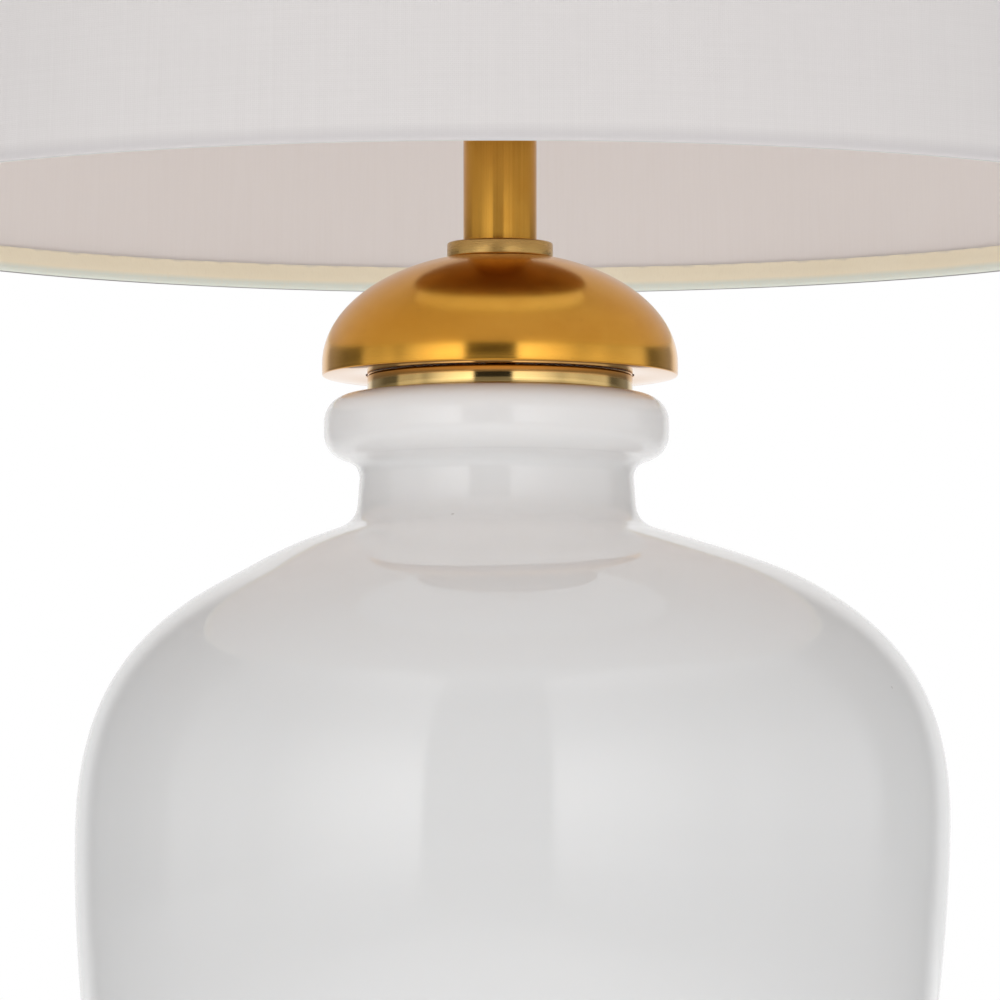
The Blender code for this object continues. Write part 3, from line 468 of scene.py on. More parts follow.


def polished_brass():
    """Lacquered antique brass, spun and buffed round the axis: reflections run together up and down.

    The flat flange under the dome's rim is smoother than the rest, and its colour is painted darker for the
    shade under the rim.
    """
    s = Surface("polished_brass")
    lines = s.lathe_lines(2600.0)
    patina = s.noise(26.0, 4.0, 0.55)
    wipe = s.stretched_noise((1.0, 1.0, 2.5), 60.0, 3.0, 0.6)
    specks = s.span(s.noise(900.0, 2.0), 0.70, 0.76, 0.0, 1.0)
    colour = s.tint((0.82, 0.425, 0.068), patina, 0.35, 0.68, (0.73, 0.350, 0.042))
    colour = s.tint(colour, wipe, 0.45, 0.70, (0.70, 0.33, 0.045), 0.35)
    colour = s.mix(s.product(specks, 0.35), colour, (0.36, 0.17, 0.03))
    # painted shade: the colour below the flange level is darker, for the shade under the dome's rim
    above = s.span(s.around[3], FLANGE_LEVEL, FLANGE_LEVEL + 0.0010, 0.0, 1.0)
    colour = s.mix(above, (0.58, 0.27, 0.035), colour)
    rough = s.math("ADD", s.span(patina, 0.3, 0.7, 0.15, 0.21), s.span(lines, 0.3, 0.7, 0.0, 0.03))
    return s.finish(
        base_color=colour, metallic=1.0, roughness=s.span(above, 0.0, 1.0, 0.05, rough), anisotropic=0.6,
        anisotropic_rotation=0.25, coat_weight=0.06, coat_roughness=0.10, normal=s.bump(lines, 0.12, 0.00006),
    )


def dull_brass():
    """Unlacquered brass gone brown: low shine, blotched tarnish."""
    s = Surface("dull_brass")
    tarnish = s.noise(55.0, 5.0, 0.6)
    return s.finish(
        base_color=s.tint((0.30, 0.155, 0.045), tarnish, 0.35, 0.65, (0.20, 0.100, 0.030)), metallic=1.0,
        roughness=s.span(tarnish, 0.3, 0.7, 0.36, 0.50), normal=s.bump(s.lathe_lines(2200.0), 0.2, 0.0001),
    )


def turned_brass(name, fine, blotch, tones, line_share, rough, relief):
    """Brass straight from the lathe, or buffed after it. Tones are its pale, darker and line colours."""
    s = Surface(name)
    lines = s.lathe_lines(fine, 2.0)
    colour = s.tint(tones[0], s.noise(blotch, 4.0), 0.35, 0.7, tones[1])
    return s.finish(
        base_color=s.tint(colour, lines, 0.55, 0.8, tones[2], line_share), metallic=1.0,
        roughness=s.span(lines, 0.25, 0.75, *rough), normal=s.bump(lines, *relief),
    )


def drawn_brass():
    """The neck tube: drawn lengthwise, so its fine lines and streaks run up and down."""
    s = Surface("drawn_brass")
    streaks = s.ring_noise(34.0, 9.0, 5.0, 0.6)
    colour = s.tint((0.62, 0.325, 0.055), streaks, 0.35, 0.65, (0.57, 0.285, 0.042))
    return s.finish(
        base_color=s.tint(colour, s.noise(70.0), 0.45, 0.75, (0.52, 0.235, 0.030), 0.5), metallic=1.0,
        roughness=s.span(streaks, 0.3, 0.7, 0.22, 0.27), anisotropic=0.9, anisotropic_rotation=0.25,
        normal=s.bump(streaks, 0.05, 0.0001),
    )


def opal_glass():
    """Blown opal glass: glossy, slightly uneven skin, with a few small seeds. Its colour is painted lighter
    towards the neck, for light on the shoulder and neck.
    """
    s = Surface("opal_glass")
    cloud = s.noise(9.0)
    seeds = s.node("TexVoronoi", {"Vector": s.place, "Scale": 34.0}, feature="F1").outputs["Distance"]
    body = s.mix(cloud, (0.795, 0.793, 0.795), (0.820, 0.815, 0.808))
    # painted light: the neck's colour is whiter, to light the shoulder and neck more
    neck = s.mix(cloud, (0.940, 0.935, 0.933), (0.955, 0.950, 0.945))
    colour = s.tint(body, s.around[3], *PAINTED_NECK_LIGHT_HEIGHTS, neck)
    colour = s.mix(s.product(s.span(seeds, 0.012, 0.022, 1.0, 0.0), 0.45), colour, (0.42, 0.40, 0.37))
    return s.finish(
        base_color=colour, roughness=0.045, ior=1.51, subsurface_weight=0.18,
        subsurface_radius=(1.0, 0.92, 0.85), subsurface_scale=0.006,
        normal=s.bump(s.stretched_noise((1.0, 1.0, 0.45), 13.0, 2.0, 0.4), 0.35, 0.0010),
    )


def linen():
    """White plain-weave linen: round threads with slubs, faint pinkish clouds and painted shade along its
    lower rim.
    """
    s = Surface("white_linen")
    cosine, sine, _, height = s.around
    across = s.product(s.math("ARCTAN2", sine, cosine), 1180.0)
    along = s.product(height, math.pi / 0.00056)
    over = s.span(s.product(s.math("COSINE", across), s.math("COSINE", along)), -0.6, 0.6, 0.0, 1.0)
    threads = []
    for waves, shown in ((across, over), (along, s.math("SUBTRACT", 1.0, over))):
        threads.append(s.product(s.math("ABSOLUTE", s.math("SINE", waves)), s.math("ADD", shown, 0.35)))
    weave = s.math("MAXIMUM", *threads)
    warp_slubs = s.ring_noise(330.0, 16.0, 3.0, 0.55)
    weft_slubs = s.ring_noise(7.0, 1300.0, 3.0, 0.55)
    slubs = s.math("ADD", s.product(warp_slubs, 0.6), s.product(weft_slubs, 0.4))
    low = SHADE_LEVELS[0]
    colour = s.tint((0.845, 0.811, 0.801), slubs, 0.36, 0.64, (0.875, 0.843, 0.833))
    colour = s.mix(s.span(weave, 0.2, 0.9, 0.55, 0.0), colour, (0.75, 0.713, 0.703))
    colour = s.tint(colour, s.noise(7.0, 2.0), 0.3, 0.7, (0.865, 0.818, 0.818), 0.35)
    # painted shade: the lowest 5 mm are darker, for the shadow of the hem turned in behind the cloth
    colour = s.mix(s.span(height, low, low + 0.005, 0.6, 0.0), colour, (0.60, 0.57, 0.58))
    relief = s.math("ADD", s.product(weave, 0.6), slubs)
    return s.finish(
        base_color=colour, roughness=0.88, specular_ior_level=0.2, sheen_weight=0.25, sheen_roughness=0.5,
        sheen_tint=(1.0, 0.97, 0.95), normal=s.bump(relief, 0.30, 0.00020),
    )


def shade_lining():
    """Smooth backing film inside the shade: satin, pinkish grey, the weave showing faintly through."""
    s = Surface("shade_lining")
    grain = s.ring_noise(260.0, 40.0, 3.0, 0.5)
    cloud = s.stretched_noise((1.0, 1.0, 2.5), 5.0, 2.0)
    colour = s.tint((0.900, 0.850, 0.825), cloud, 0.3, 0.7, (0.885, 0.830, 0.810))
    return s.finish(
        base_color=s.tint(colour, grain, 0.4, 0.7, (0.85, 0.79, 0.76), 0.25), roughness=0.42,
        specular_ior_level=0.35, normal=s.bump(grain, 0.08, 0.0001),
    )


def hem_tape(name, edge_height, up):
    """Cream bias tape glued over the rim wire, its cream painted brighter for the light that comes through
    it. Painted shade makes it greyer green along its rolled rim and grey on its outer face.
    """
    s = Surface(name)
    _, _, radius, height = s.around
    depth = s.product(s.math("SUBTRACT", height, edge_height), up)
    threads = s.ring_noise(420.0, 500.0, 3.0, 0.6)
    cloud = s.noise(30.0, 2.0)
    # the tape's cream, painted brighter for the light that comes through it
    cream_lit_through = s.tint((1.00, 0.91, 0.71), cloud, 0.3, 0.7, (0.98, 0.88, 0.67))
    # painted shade: greyer green along the rolled rim, which faces down
    edge = s.span(s.math("ADD", depth, s.product(cloud, 0.0008)), 0.0020, 0.0034, 1.0, 0.0)
    colour = s.mix(edge, cream_lit_through, (0.80, 0.83, 0.74))
    colour = s.tint(colour, threads, 0.5, 0.75, (0.90, 0.79, 0.60), 0.3)
    # painted shade: grey on the outer face, out from the rim wire
    wire_line = wall_radius(edge_height, HEM_INSET + HEM_ROUND)
    return s.finish(
        base_color=s.tint(colour, radius, wire_line, wire_line + 0.0006, (0.50, 0.485, 0.50)), roughness=0.9,
        specular_ior_level=0.2, sheen_weight=0.2, normal=s.bump(threads, 0.4, 0.00015),
    )


def plated(name, pale, dark, *rough):
    """Plated steel: even shine with fine brushing, small pits and slight clouding."""
    s = Surface(name)
    brush = s.stretched_noise((60.0, 60.0, 1800.0), 1.0, 4.0, 0.6)
    return s.finish(
        base_color=s.tint(pale, s.noise(45.0), 0.3, 0.7, dark), metallic=1.0,
        roughness=s.span(brush, 0.3, 0.7, *rough), normal=s.bump(brush, 0.15, 0.00008),
    )


def grained(name, pale, dark, scale, rough, relief, metallic=0.0):
    """Moulded, cast or pressed stuff: two tones of one colour, and a grain in its relief and its gloss."""
    s = Surface(name)
    grain = s.noise(scale, 5.0, 0.6)
    colour = s.tint(pale, grain, 0.35, 0.65, dark)
    return s.finish(
        base_color=s.tint(colour, s.noise(scale * 0.06, 2.0), 0.35, 0.7, dark, 0.4), metallic=metallic,
        roughness=s.span(grain, 0.3, 0.7, *rough), normal=s.bump(grain, *relief),
    )


def felt():
    """Pressed wool felt: short fibres lying every way, matted and slightly fuzzy."""
    s = Surface("brown_felt")
    fibres = s.stretched_noise((1.0, 1.0, 0.3), 1500.0, 4.0, 0.7)
    mats = s.noise(160.0)
    colour = s.tint((0.075, 0.045, 0.030), fibres, 0.3, 0.7, (0.140, 0.090, 0.062))
    relief = s.math("ADD", fibres, s.product(mats, 1.5))
    return s.finish(
        base_color=s.tint(colour, mats, 0.4, 0.7, (0.060, 0.036, 0.025), 0.5), roughness=0.97,
        specular_ior_level=0.1, sheen_weight=0.5, sheen_roughness=0.6, sheen_tint=(0.8, 0.65, 0.55),
        normal=s.bump(relief, 0.8, 0.0004),
    )


def bulb_opal():
    """Frosted diffuser of the bulb: milky, softly shining, very slightly mottled."""
    s = Surface("bulb_opal")
    mottle = s.noise(220.0, 4.0, 0.6)
    return s.finish(
        base_color=s.tint((0.86, 0.86, 0.84), s.noise(25.0, 2.0), 0.3, 0.7, (0.82, 0.82, 0.80)),
        roughness=s.span(mottle, 0.3, 0.7, 0.30, 0.42), subsurface_weight=0.3,
        subsurface_radius=(1.0, 0.97, 0.92), subsurface_scale=0.004, normal=s.bump(mottle, 0.06, 0.0001),
    )


BRASS = polished_brass()
DULL_BRASS = dull_brass()
PALE_BRASS = turned_brass(
    "pale_brass", 3000.0, 50.0, ((0.72, 0.50, 0.205), (0.60, 0.40, 0.145), (0.45, 0.29, 0.11)), 0.3,
    (0.06, 0.11), (0.15, 0.00006),
)
SATIN_BRASS = turned_brass(
    "satin_brass", 3400.0, 60.0, ((0.60, 0.385, 0.135), (0.50, 0.31, 0.10), (0.45, 0.27, 0.09)), 0.4,
    (0.22, 0.36), (0.35, 0.0001),
)
TUBE_BRASS = drawn_brass()
OPAL_GLASS = opal_glass()
LINEN = linen()
LINING = shade_lining()
FELT = felt()
BULB_OPAL = bulb_opal()
STEEL = plated("plated_steel", (0.66, 0.65, 0.63), (0.52, 0.51, 0.49), 0.24, 0.38)
NICKEL = plated("nickel_plate", (0.74, 0.72, 0.68), (0.62, 0.60, 0.56), 0.14, 0.26)
IRON, RUBBER, IVORY, PHENOLIC, BULB_PLASTIC, CARD = (grained(*looks) for looks in (
    ("cast_iron", (0.13, 0.125, 0.12), (0.065, 0.06, 0.06), 420.0, (0.6, 0.8), (0.8, 0.0005), 0.6),
    ("black_rubber", (0.040, 0.040, 0.040), (0.022, 0.022, 0.022), 900.0, (0.62, 0.8), (0.4, 0.0001)),
    ("ivory_plastic", (0.80, 0.78, 0.71), (0.74, 0.71, 0.63), 700.0, (0.36, 0.5), (0.25, 0.0001)),
    ("black_phenolic", (0.045, 0.042, 0.040), (0.022, 0.020, 0.020), 650.0, (0.24, 0.38), (0.2, 0.0001)),
    ("bulb_plastic", (0.82, 0.82, 0.80), (0.77, 0.77, 0.75), 600.0, (0.30, 0.42), (0.15, 0.0001)),
    ("grey_card", (0.33, 0.30, 0.26), (0.22, 0.20, 0.17), 800.0, (0.85, 0.98), (0.6, 0.0002)),
))


# ---------------------------------------------------------------- foot
def make_foot():
    low, top = levels("foot_shell")
    radius = reach("foot_shell")
    inner = radius - FOOT_WALL
    inner_round = FOOT_EDGE_ROUND - FOOT_WALL
    round_centre = (radius - FOOT_EDGE_ROUND, top - FOOT_EDGE_ROUND)
    outline = [(radius - 0.0008, low), (radius, low + 0.0012)]
    outline += arc(round_centre, (FOOT_EDGE_ROUND, FOOT_EDGE_ROUND), 0, 90, 14)
    outline += [(ROD_HOLE_RADIUS, top), (ROD_HOLE_RADIUS, top - FOOT_WALL)]
    outline += arc(round_centre, (inner_round, inner_round), 90, 0, 8)
    outline += [(inner, low)]
    shell = turned("foot_shell_fine", outline, BIG_SIDES)
    cut(shell, (0, radius - 0.006, CORD_HOLE_HEIGHT), (0, radius + 0.004, CORD_HOLE_HEIGHT), CORD_HOLE_RADIUS)
    dress(softened(shell, 0.0003), BRASS, "foot_shell")
    make_felt_pad()
    make_cord_bushing(radius)


def make_felt_pad():
    """Cut felt disc: its edge is rounded and a little uneven from the shears."""
    low, top = levels("felt_pad")
    radius = reach("felt_pad")
    edge = (top - low) / 2
    outline = [(0, low)]
    outline += arc((radius - edge, low + edge), (edge, edge), -90, 90, 8)
    outline += [(0, top)]

    def shears(height, angle):
        wave = 0.00012 * math.sin(17 * angle) + 0.00008 * math.sin(41 * angle + 1.0)
        return 0.0, 0.0, wave

    pad = lathe("felt_pad", outline, BIG_SIDES, FELT, shift=shears)


def make_cord_bushing(foot_radius):
    """Moulded grommet with rounded flanges, in the foot's rear wall."""
    flange = 0.0053
    neck = CORD_HOLE_RADIUS - 0.0003
    bore = 0.0029
    wall_in = -FOOT_WALL - 0.0008
    outline = [
        (bore, wall_in - 0.0015), (flange, wall_in - 0.0015), (flange, wall_in), (neck, wall_in),
        (neck, 0.0003), (flange, 0.0003), (flange - 0.0007, 0.0019), (bore, 0.0019),
    ]
    seat = ((0, foot_radius, CORD_HOLE_HEIGHT), -90)
    lathe("cord_bushing", outline, SMALL_SIDES, RUBBER, 0.0003, seat=seat)


# ---------------------------------------------------------------- jar
JAR_LEVELS = levels("glass_jar")


def jar_shift(height, angle):
    """The jar's lean at a height, and the slow waves of its blown wall."""
    low, top = JAR_LEVELS
    depth = top - height
    blend = smoothstep(LEAN_START, LEAN_FULL, depth)
    fall = max(depth - LEAN_FULL, 0.0) / (top - low - LEAN_FULL)
    lean = JAR_NECK_SHIFT * (1 - blend) + JAR_BODY_SHIFT * (1 - min(fall, 1.0) ** LEAN_CURVE) * blend
    calm = smoothstep(LEAN_START, SHOULDER_DROP, depth)
    wave = math.sin(3 * angle + 31 * height) + 0.6 * math.sin(5 * angle - 43 * height + 1.3)
    wave += 0.4 * math.sin(2 * angle + 67 * height + 0.5)
    return lean, 0.0, JAR_WAVE * wave * (0.25 + 0.75 * calm)


def jar_body_radius(depth):
    below = depth - SHOULDER_DROP
    return JAR_RADIUS - BODY_TAPER * below * below


def jar_shoulder(inset, steps):
    start = (NECK_END_RADIUS - inset * 0.6, -NECK_DROP - inset)
    end = (JAR_RADIUS - inset, -SHOULDER_DROP)
    handle = SHOULDER_REACH - inset * 0.5
    out = (start[0] + handle, start[1] - handle * SHOULDER_SLOPE)
    return bezier(start, out, (end[0], end[1] + SHOULDER_LIFT), end, steps)


def jar_outside(jar_height):
    """From the mouth over the lip and down the outside to the hole in the floor, from the lip's top."""
    lip_centre = LIP_RADIUS - LIP_ROUND
    outline = arc((MOUTH_RADIUS + 0.0025, -0.0025), (0.0025, 0.0025), 180, 90, 6)
    outline += arc((lip_centre, -LIP_ROUND), (LIP_ROUND, LIP_ROUND), 90, 0, 14)
    outline += arc((lip_centre, -0.0116), (LIP_ROUND, LIP_ROUND), 0, -80, 12)
    outline += arc((NECK_RADIUS + 0.0038, -0.0250), (0.0038, 0.0048), 110, 180, 7)
    neck_foot = (NECK_RADIUS + 0.0006, -0.0330)
    neck_end = (NECK_END_RADIUS, -NECK_DROP)
    outline += bezier(neck_foot, (NECK_RADIUS + 0.0011, -0.0385), (0.0460, -0.0399), neck_end, 8)
    outline += jar_shoulder(0.0, 36)[1:]
    heel_depth = jar_height - HEEL_HEIGHT
    outline += [(jar_body_radius(depth), -depth) for depth in spaced(SHOULDER_DROP, heel_depth, 22)[1:-1]]
    heel = (jar_body_radius(heel_depth), -heel_depth)
    toe = (heel[0] - 0.009, -jar_height)
    outline += bezier(heel, (heel[0] - 0.004, heel[1] - 0.012), toe, (heel[0] - 0.020, -jar_height), 12)
    return outline + [(JAR_HOLE_RADIUS, -jar_height)]


def jar_inside(jar_height):
    """From the hole in the floor up the inside to the mouth."""
    floor = -jar_height + JAR_FLOOR
    heel_depth = jar_height - HEEL_HEIGHT
    heel_radius = jar_body_radius(heel_depth) - JAR_WALL
    outline = [(JAR_HOLE_RADIUS, floor)]
    outline += bezier((heel_radius - 0.016, floor), (heel_radius - 0.004, floor),
                      (heel_radius - 0.001, -heel_depth - 0.008), (heel_radius, -heel_depth), 6)
    depths = spaced(SHOULDER_DROP, heel_depth, 8)[-2:0:-1]
    outline += [(jar_body_radius(depth) - JAR_WALL, -depth) for depth in depths]
    outline += jar_shoulder(JAR_WALL, 12)[::-1]
    return outline + [(MOUTH_RADIUS, -NECK_DROP + 0.001)]


def make_jar():
    low, top = JAR_LEVELS
    outline = jar_outside(top - low) + jar_inside(top - low)
    lathe("glass_jar", moved(outline, top), BIG_SIDES, OPAL_GLASS, shift=jar_shift)


# ---------------------------------------------------------------- turned rings, tubes and nuts
def make_ring(node, inner, material, edge, sides=RING_SIDES, body="base"):
    """Fine version of a CAD ring or tube, which gives its radius and its heights."""
    return lathe(node, square_ring(inner, reach(node), *levels(node)), sides, material, edge, body=body)


def make_nut(node, material):
    """Hexagon nut with chamfered corners and a bore."""
    low, high = levels(node)
    wide = reach(node) / math.cos(math.radians(30))
    chamfer = 0.0006
    narrow = wide - chamfer
    points = []
    for height, radius in ((low, narrow), (low + chamfer, wide), (high - chamfer, wide), (high, narrow)):
        for degrees in range(30, 390, 60):
            angle = math.radians(degrees)
            points.append((radius * math.cos(angle), radius * math.sin(angle), height))
    nut = skinned(node + "_fine", points, 6)
    cut(nut, (0, 0, low - 0.002), (0, 0, high + 0.002), ROD_HOLE_RADIUS)
    dress(softened(nut, 0.00025, 2), material, node)


def make_clamp_parts():
    """Rings, washers and nuts on the threaded rod, most of them out of sight."""
    for node, inner, material, edge, sides in (
        ("foot_weight", 0.016, IRON, 0.0012, RING_SIDES),
        ("foot_washer", ROD_HOLE_RADIUS, STEEL, 0.0002, SMALL_SIDES),
        ("jar_seat_ring", 0.060, RUBBER, 0.0004, RING_SIDES),
        ("jar_floor_bush", ROD_HOLE_RADIUS, RUBBER, 0.0004, SMALL_SIDES),
        ("mouth_plug", ROD_HOLE_RADIUS, IVORY, 0.0008, RING_SIDES),
        ("lip_gasket", MOUTH_RADIUS + 0.0005, RUBBER, 0.0003, RING_SIDES),
        ("dome_washer", ROD_HOLE_RADIUS, STEEL, 0.0002, SMALL_SIDES),
    ):
        make_ring(node, inner, material, edge, sides)
    nuts = {"foot_locknut": BRASS, "collar_locknut": STEEL, "dome_locknut": STEEL, "saddle_nut": BRASS}
    for node, material in nuts.items():
        make_nut(node, material)


# ---------------------------------------------------------------- brass neck
def make_neck():
    make_collar()
    make_ring("collar_spacer", ROD_HOLE_RADIUS, BRASS, 0.0004, BIG_SIDES)
    make_dome()
    make_ring("check_ring", ROD_HOLE_RADIUS, SATIN_BRASS, 0.0006)
    make_ring("neck_tube", reach("neck_tube") - NECK_TUBE_WALL, TUBE_BRASS, 0.0002)
    make_socket_plate()


def make_collar():
    """Lower ring: a lid whose rim stands on the jar's lip."""
    low, top = levels("neck_collar")
    top += 0.0003
    radius = reach("neck_collar")
    recess = low + 0.0014
    outline = [
        (ROD_HOLE_RADIUS, recess), (radius - COLLAR_RIM, recess), (radius - COLLAR_RIM, low), (radius, low),
        (radius, top), (ROD_HOLE_RADIUS, top),
    ]
    lathe("neck_collar", outline, BIG_SIDES, PALE_BRASS, 0.0004)


def make_dome():
    """Spun cap: flat turned-in flange, short straight skirt, quarter ellipse, flat top."""
    low, top = levels("dome_cap")
    radius = reach("dome_cap")
    spring = low + DOME_SKIRT
    flat = math.degrees(math.asin((top - spring) / DOME_ARCH))
    inner_radius = radius - DOME_WALL
    inner_arch = DOME_ARCH - DOME_WALL
    inner_flat = math.degrees(math.asin((top - DOME_WALL - spring) / inner_arch))
    outline = [(DOME_FLANGE_RADIUS, low), (radius, low)]
    outline += arc((0, spring), (radius, DOME_ARCH), 0, flat, 44)
    outline += [(ROD_HOLE_RADIUS, top), (ROD_HOLE_RADIUS, top - DOME_WALL)]
    outline += arc((0, spring), (inner_radius, inner_arch), inner_flat, 0, 16)
    outline += [(inner_radius, low + DOME_WALL), (DOME_FLANGE_RADIUS, low + DOME_WALL)]
    lathe("dome_cap", outline, BIG_SIDES, BRASS, 0.00045, 4)


def make_socket_plate():
    """Flat plate under the harp, with a round edge and a hub."""
    low = levels("socket_plate")[0]
    radius = reach("socket_plate")
    half = PLATE_THICKNESS / 2
    hub_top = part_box("harp_saddle")[0].z - LAYER_GAP
    outline = [(ROD_HOLE_RADIUS, low)]
    outline += arc((radius - half, low + half), (half, half), -90, 90, 14)
    outline += [(PLATE_HUB_RADIUS, low + PLATE_THICKNESS), (PLATE_HUB_RADIUS, hub_top)]
    outline += [(ROD_HOLE_RADIUS, hub_top)]
    lathe("socket_plate", outline, BIG_SIDES, DULL_BRASS, 0.0002, 2)


# ---------------------------------------------------------------- socket and switch
KEY_LEVEL = middle("switch_spindle").z


def make_socket():
    make_socket_cap()
    make_socket_shell()
    make_screw_shell()
    cut_key_hole(make_ring("socket_sleeve", SOCKET_RADIUS - SOCKET_WALL - 0.0010, CARD, 0.0001))


def cut_key_hole(piece):
    cut(piece, (0, -0.012, KEY_LEVEL), (0, -0.022, KEY_LEVEL), KEY_HOLE_RADIUS)


def make_socket_cap():
    """Cup on the rod's end, with a stepped neck and a beaded rim."""
    low, top = levels("socket_cap")
    height = top - low
    radius = reach("socket_cap")
    inner = radius - SOCKET_WALL
    outline = [(ROD_HOLE_RADIUS, 0), (0.0085, 0)]
    outline += bezier((0.0090, 0.0030), (0.0096, 0.0058), (0.0128, 0.0068), (0.0148, 0.0082), 8)
    outline += bezier((0.0152, 0.0086), (0.0168, 0.0096), (radius, 0.0102), (radius, 0.0124), 8)
    outline += [(radius, height - 0.0016)]
    outline += arc((radius, height - 0.0008), (0.0005, 0.0008), -90, 90, 6)
    outline += [(inner, height), (inner, 0.0126)]
    outline += bezier((inner, 0.0124), (0.0164, 0.0108), (0.0150, 0.0098), (0.0142, 0.0094), 5)
    outline += [(0.0080, 0.0045), (ROD_HOLE_RADIUS, 0.0045)]
    cap = turned("socket_cap_fine", moved(outline, low), RING_SIDES)
    screw_level = middle("cap_set_screw").z
    cut(cap, (0, 0.004, screw_level), (0, 0.012, screw_level), 0.0014, 24)
    dress(cap, BRASS, "socket_cap")


def make_socket_shell():
    """Brass barrel with a rolled bead below its open top and three fine pressed rings."""
    low, top = levels("socket_shell")
    wall = SOCKET_WALL
    radius = SOCKET_RADIUS
    outline = [(radius, low)]
    for ring in (0.0165, 0.0190, 0.0215):
        outline += arc((radius, low + ring), (0.0003, 0.0005), -90, 90, 6)
    outline += arc((radius, top - 0.0045), (0.0006, 0.0014), -90, 90, 10)
    outline += arc((radius - wall / 2, top - wall / 2), (wall / 2, wall / 2), 0, 180, 6)
    outline += [(radius - wall, low)]
    shell = turned("socket_shell_fine", outline, RING_SIDES)
    cut_key_hole(shell)
    dress(shell, BRASS, "socket_shell")


def thread_growth(low, high, depth):
    """Right-hand thread for turned(): a round ridge that fades out at both ends."""
    def growth(height, angle):
        start = smoothstep(low, low + THREAD_PITCH, height)
        end = 1 - smoothstep(high - THREAD_PITCH, high, height)
        ridge = 0.5 + 0.5 * math.cos(math.tau * height / THREAD_PITCH - angle)
        return 0.0, 0.0, depth * ridge * start * end
    return growth


def tube_outline(radius, wall, low, high, steps):
    """Thin tube with enough points up its wall to carry a thread."""
    heights = spaced(low, high, steps)
    outer = [(radius, height) for height in heights]
    return outer + [(radius - wall, height) for height in reversed(heights)]


def make_screw_shell():
    low, high = levels("screw_shell")
    outline = tube_outline(0.0141, 0.0004, low, high, 48)
    thread = thread_growth(low + 0.001, high - 0.001, 0.0005)
    lathe("screw_shell", outline, SMALL_SIDES, NICKEL, shift=thread)


def make_switch():
    make_spindle()
    make_knob()


def make_spindle():
    low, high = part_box("switch_spindle")
    outline = square_ring(0, (high.x - low.x) / 2, 0, high.y - low.y)
    seat = ((0, high.y, KEY_LEVEL), 90)
    lathe("switch_spindle", outline, 32, SATIN_BRASS, 0.0002, body="switch_key", seat=seat)


def make_knob():
    """Moulded paddle: a waisted neck, a thumb hollow on each face and a rounded edge."""
    low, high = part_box("switch_knob")
    half = (high.z - low.z) / 2
    rim = [(0.0030, 0.0)]
    rim += bezier((0.0032, 0.0014), (0.0034, 0.0046), (0.0066, 0.0048), (0.0075, 0.0084), 8)
    rim += bezier((0.0077, 0.0098), (0.0074, 0.0132), (0.0040, 0.0146), (0.0, 0.0146), 8)
    rim += [(-x, out) for x, out in rim[-2::-1]]
    hollow = 0.0075               # distance of the hollow's middle from the neck
    layers = ((1.0, 0.55), (0.93, 0.92), (0.84, 1.0), (0.60, 0.86), (0.30, 0.76))
    points = []
    for side in (1, -1):
        for share, level in layers:
            for x, out in rim:
                flat = max(0.0, 1 - out / 0.0045) if share < 0.84 else 0.0
                depth = half * (level + (1 - level) * flat)
                points.append((x * share, high.y - hollow - (out - hollow) * share, KEY_LEVEL + side * depth))
    count = len(rim)
    half_way = len(layers) * count
    faces = []
    for start in (0, half_way):
        last = start + half_way - count
        for layer in range(start, last, count):
            faces += band(layer, count, count)
        faces.append(list(range(last, last + count)))
    faces += band(0, count, half_way)
    dress(finish_mesh("switch_knob_fine", points, faces, 60), PHENOLIC, "switch_knob", "switch_key")


# ---------------------------------------------------------------- bulb
def make_bulb():
    make_globe()
    make_housing()
    make_bulb_base()
    make_bulb_contact()


def make_globe():
    low, top = levels("bulb_globe")
    centre = top - BULB_RADIUS
    skin = 0.0012
    inner = BULB_RADIUS - skin
    outline = arc((0, centre), (BULB_RADIUS, BULB_RADIUS), 90, -28, 36)
    outline += bezier(
        (0.0250, centre - 0.0166), (0.0236, centre - 0.0186), (0.0222, low + 0.003), (0.0215, low), 6
    )
    outline += [(0.0203, low)]
    outline += arc((0, centre), (inner, inner), -32, 90, 20)
    outline[0] = (0, top)
    outline[-1] = (0, top - skin)
    lathe("bulb_globe", outline, RING_SIDES, BULB_OPAL, body="bulb")


def make_housing():
    low, high = levels("bulb_housing")
    height = high - low
    outline = [(0, 0), (0.0128, 0)]
    outline += bezier((0.0134, 0.0020), (0.0138, 0.0100), (0.0190, 0.0160), (0.0212, height - 0.0016), 16)
    outline += [(0.0214, height - 0.0006), (0.0214, height), (0, height)]
    lathe("bulb_housing", moved(outline, low), RING_SIDES, BULB_PLASTIC, 0.0003, 2, body="bulb")


def make_bulb_base():
    low, high = levels("bulb_base")
    radius = reach("bulb_base")
    outline = [(0, low), (0.0085, low), (radius - 0.0012, low + 0.0022)]
    outline += [(radius - 0.0004, height) for height in spaced(low + 0.0024, high, 56)]
    outline += [(0, high)]
    thread = thread_growth(low + 0.0024, high - 0.0012, 0.0004)
    lathe("bulb_base", outline, SMALL_SIDES, NICKEL, body="bulb", shift=thread)


def make_bulb_contact():
    low = levels("bulb_contact")[0]
    top = low + 0.0012
    outline = [(0, low)] + arc((0.0020, top), (0.0026, 0.0012), -90, 0, 6) + [(0, top)]
    lathe("bulb_contact", outline, SMALL_SIDES, BRASS, body="bulb")


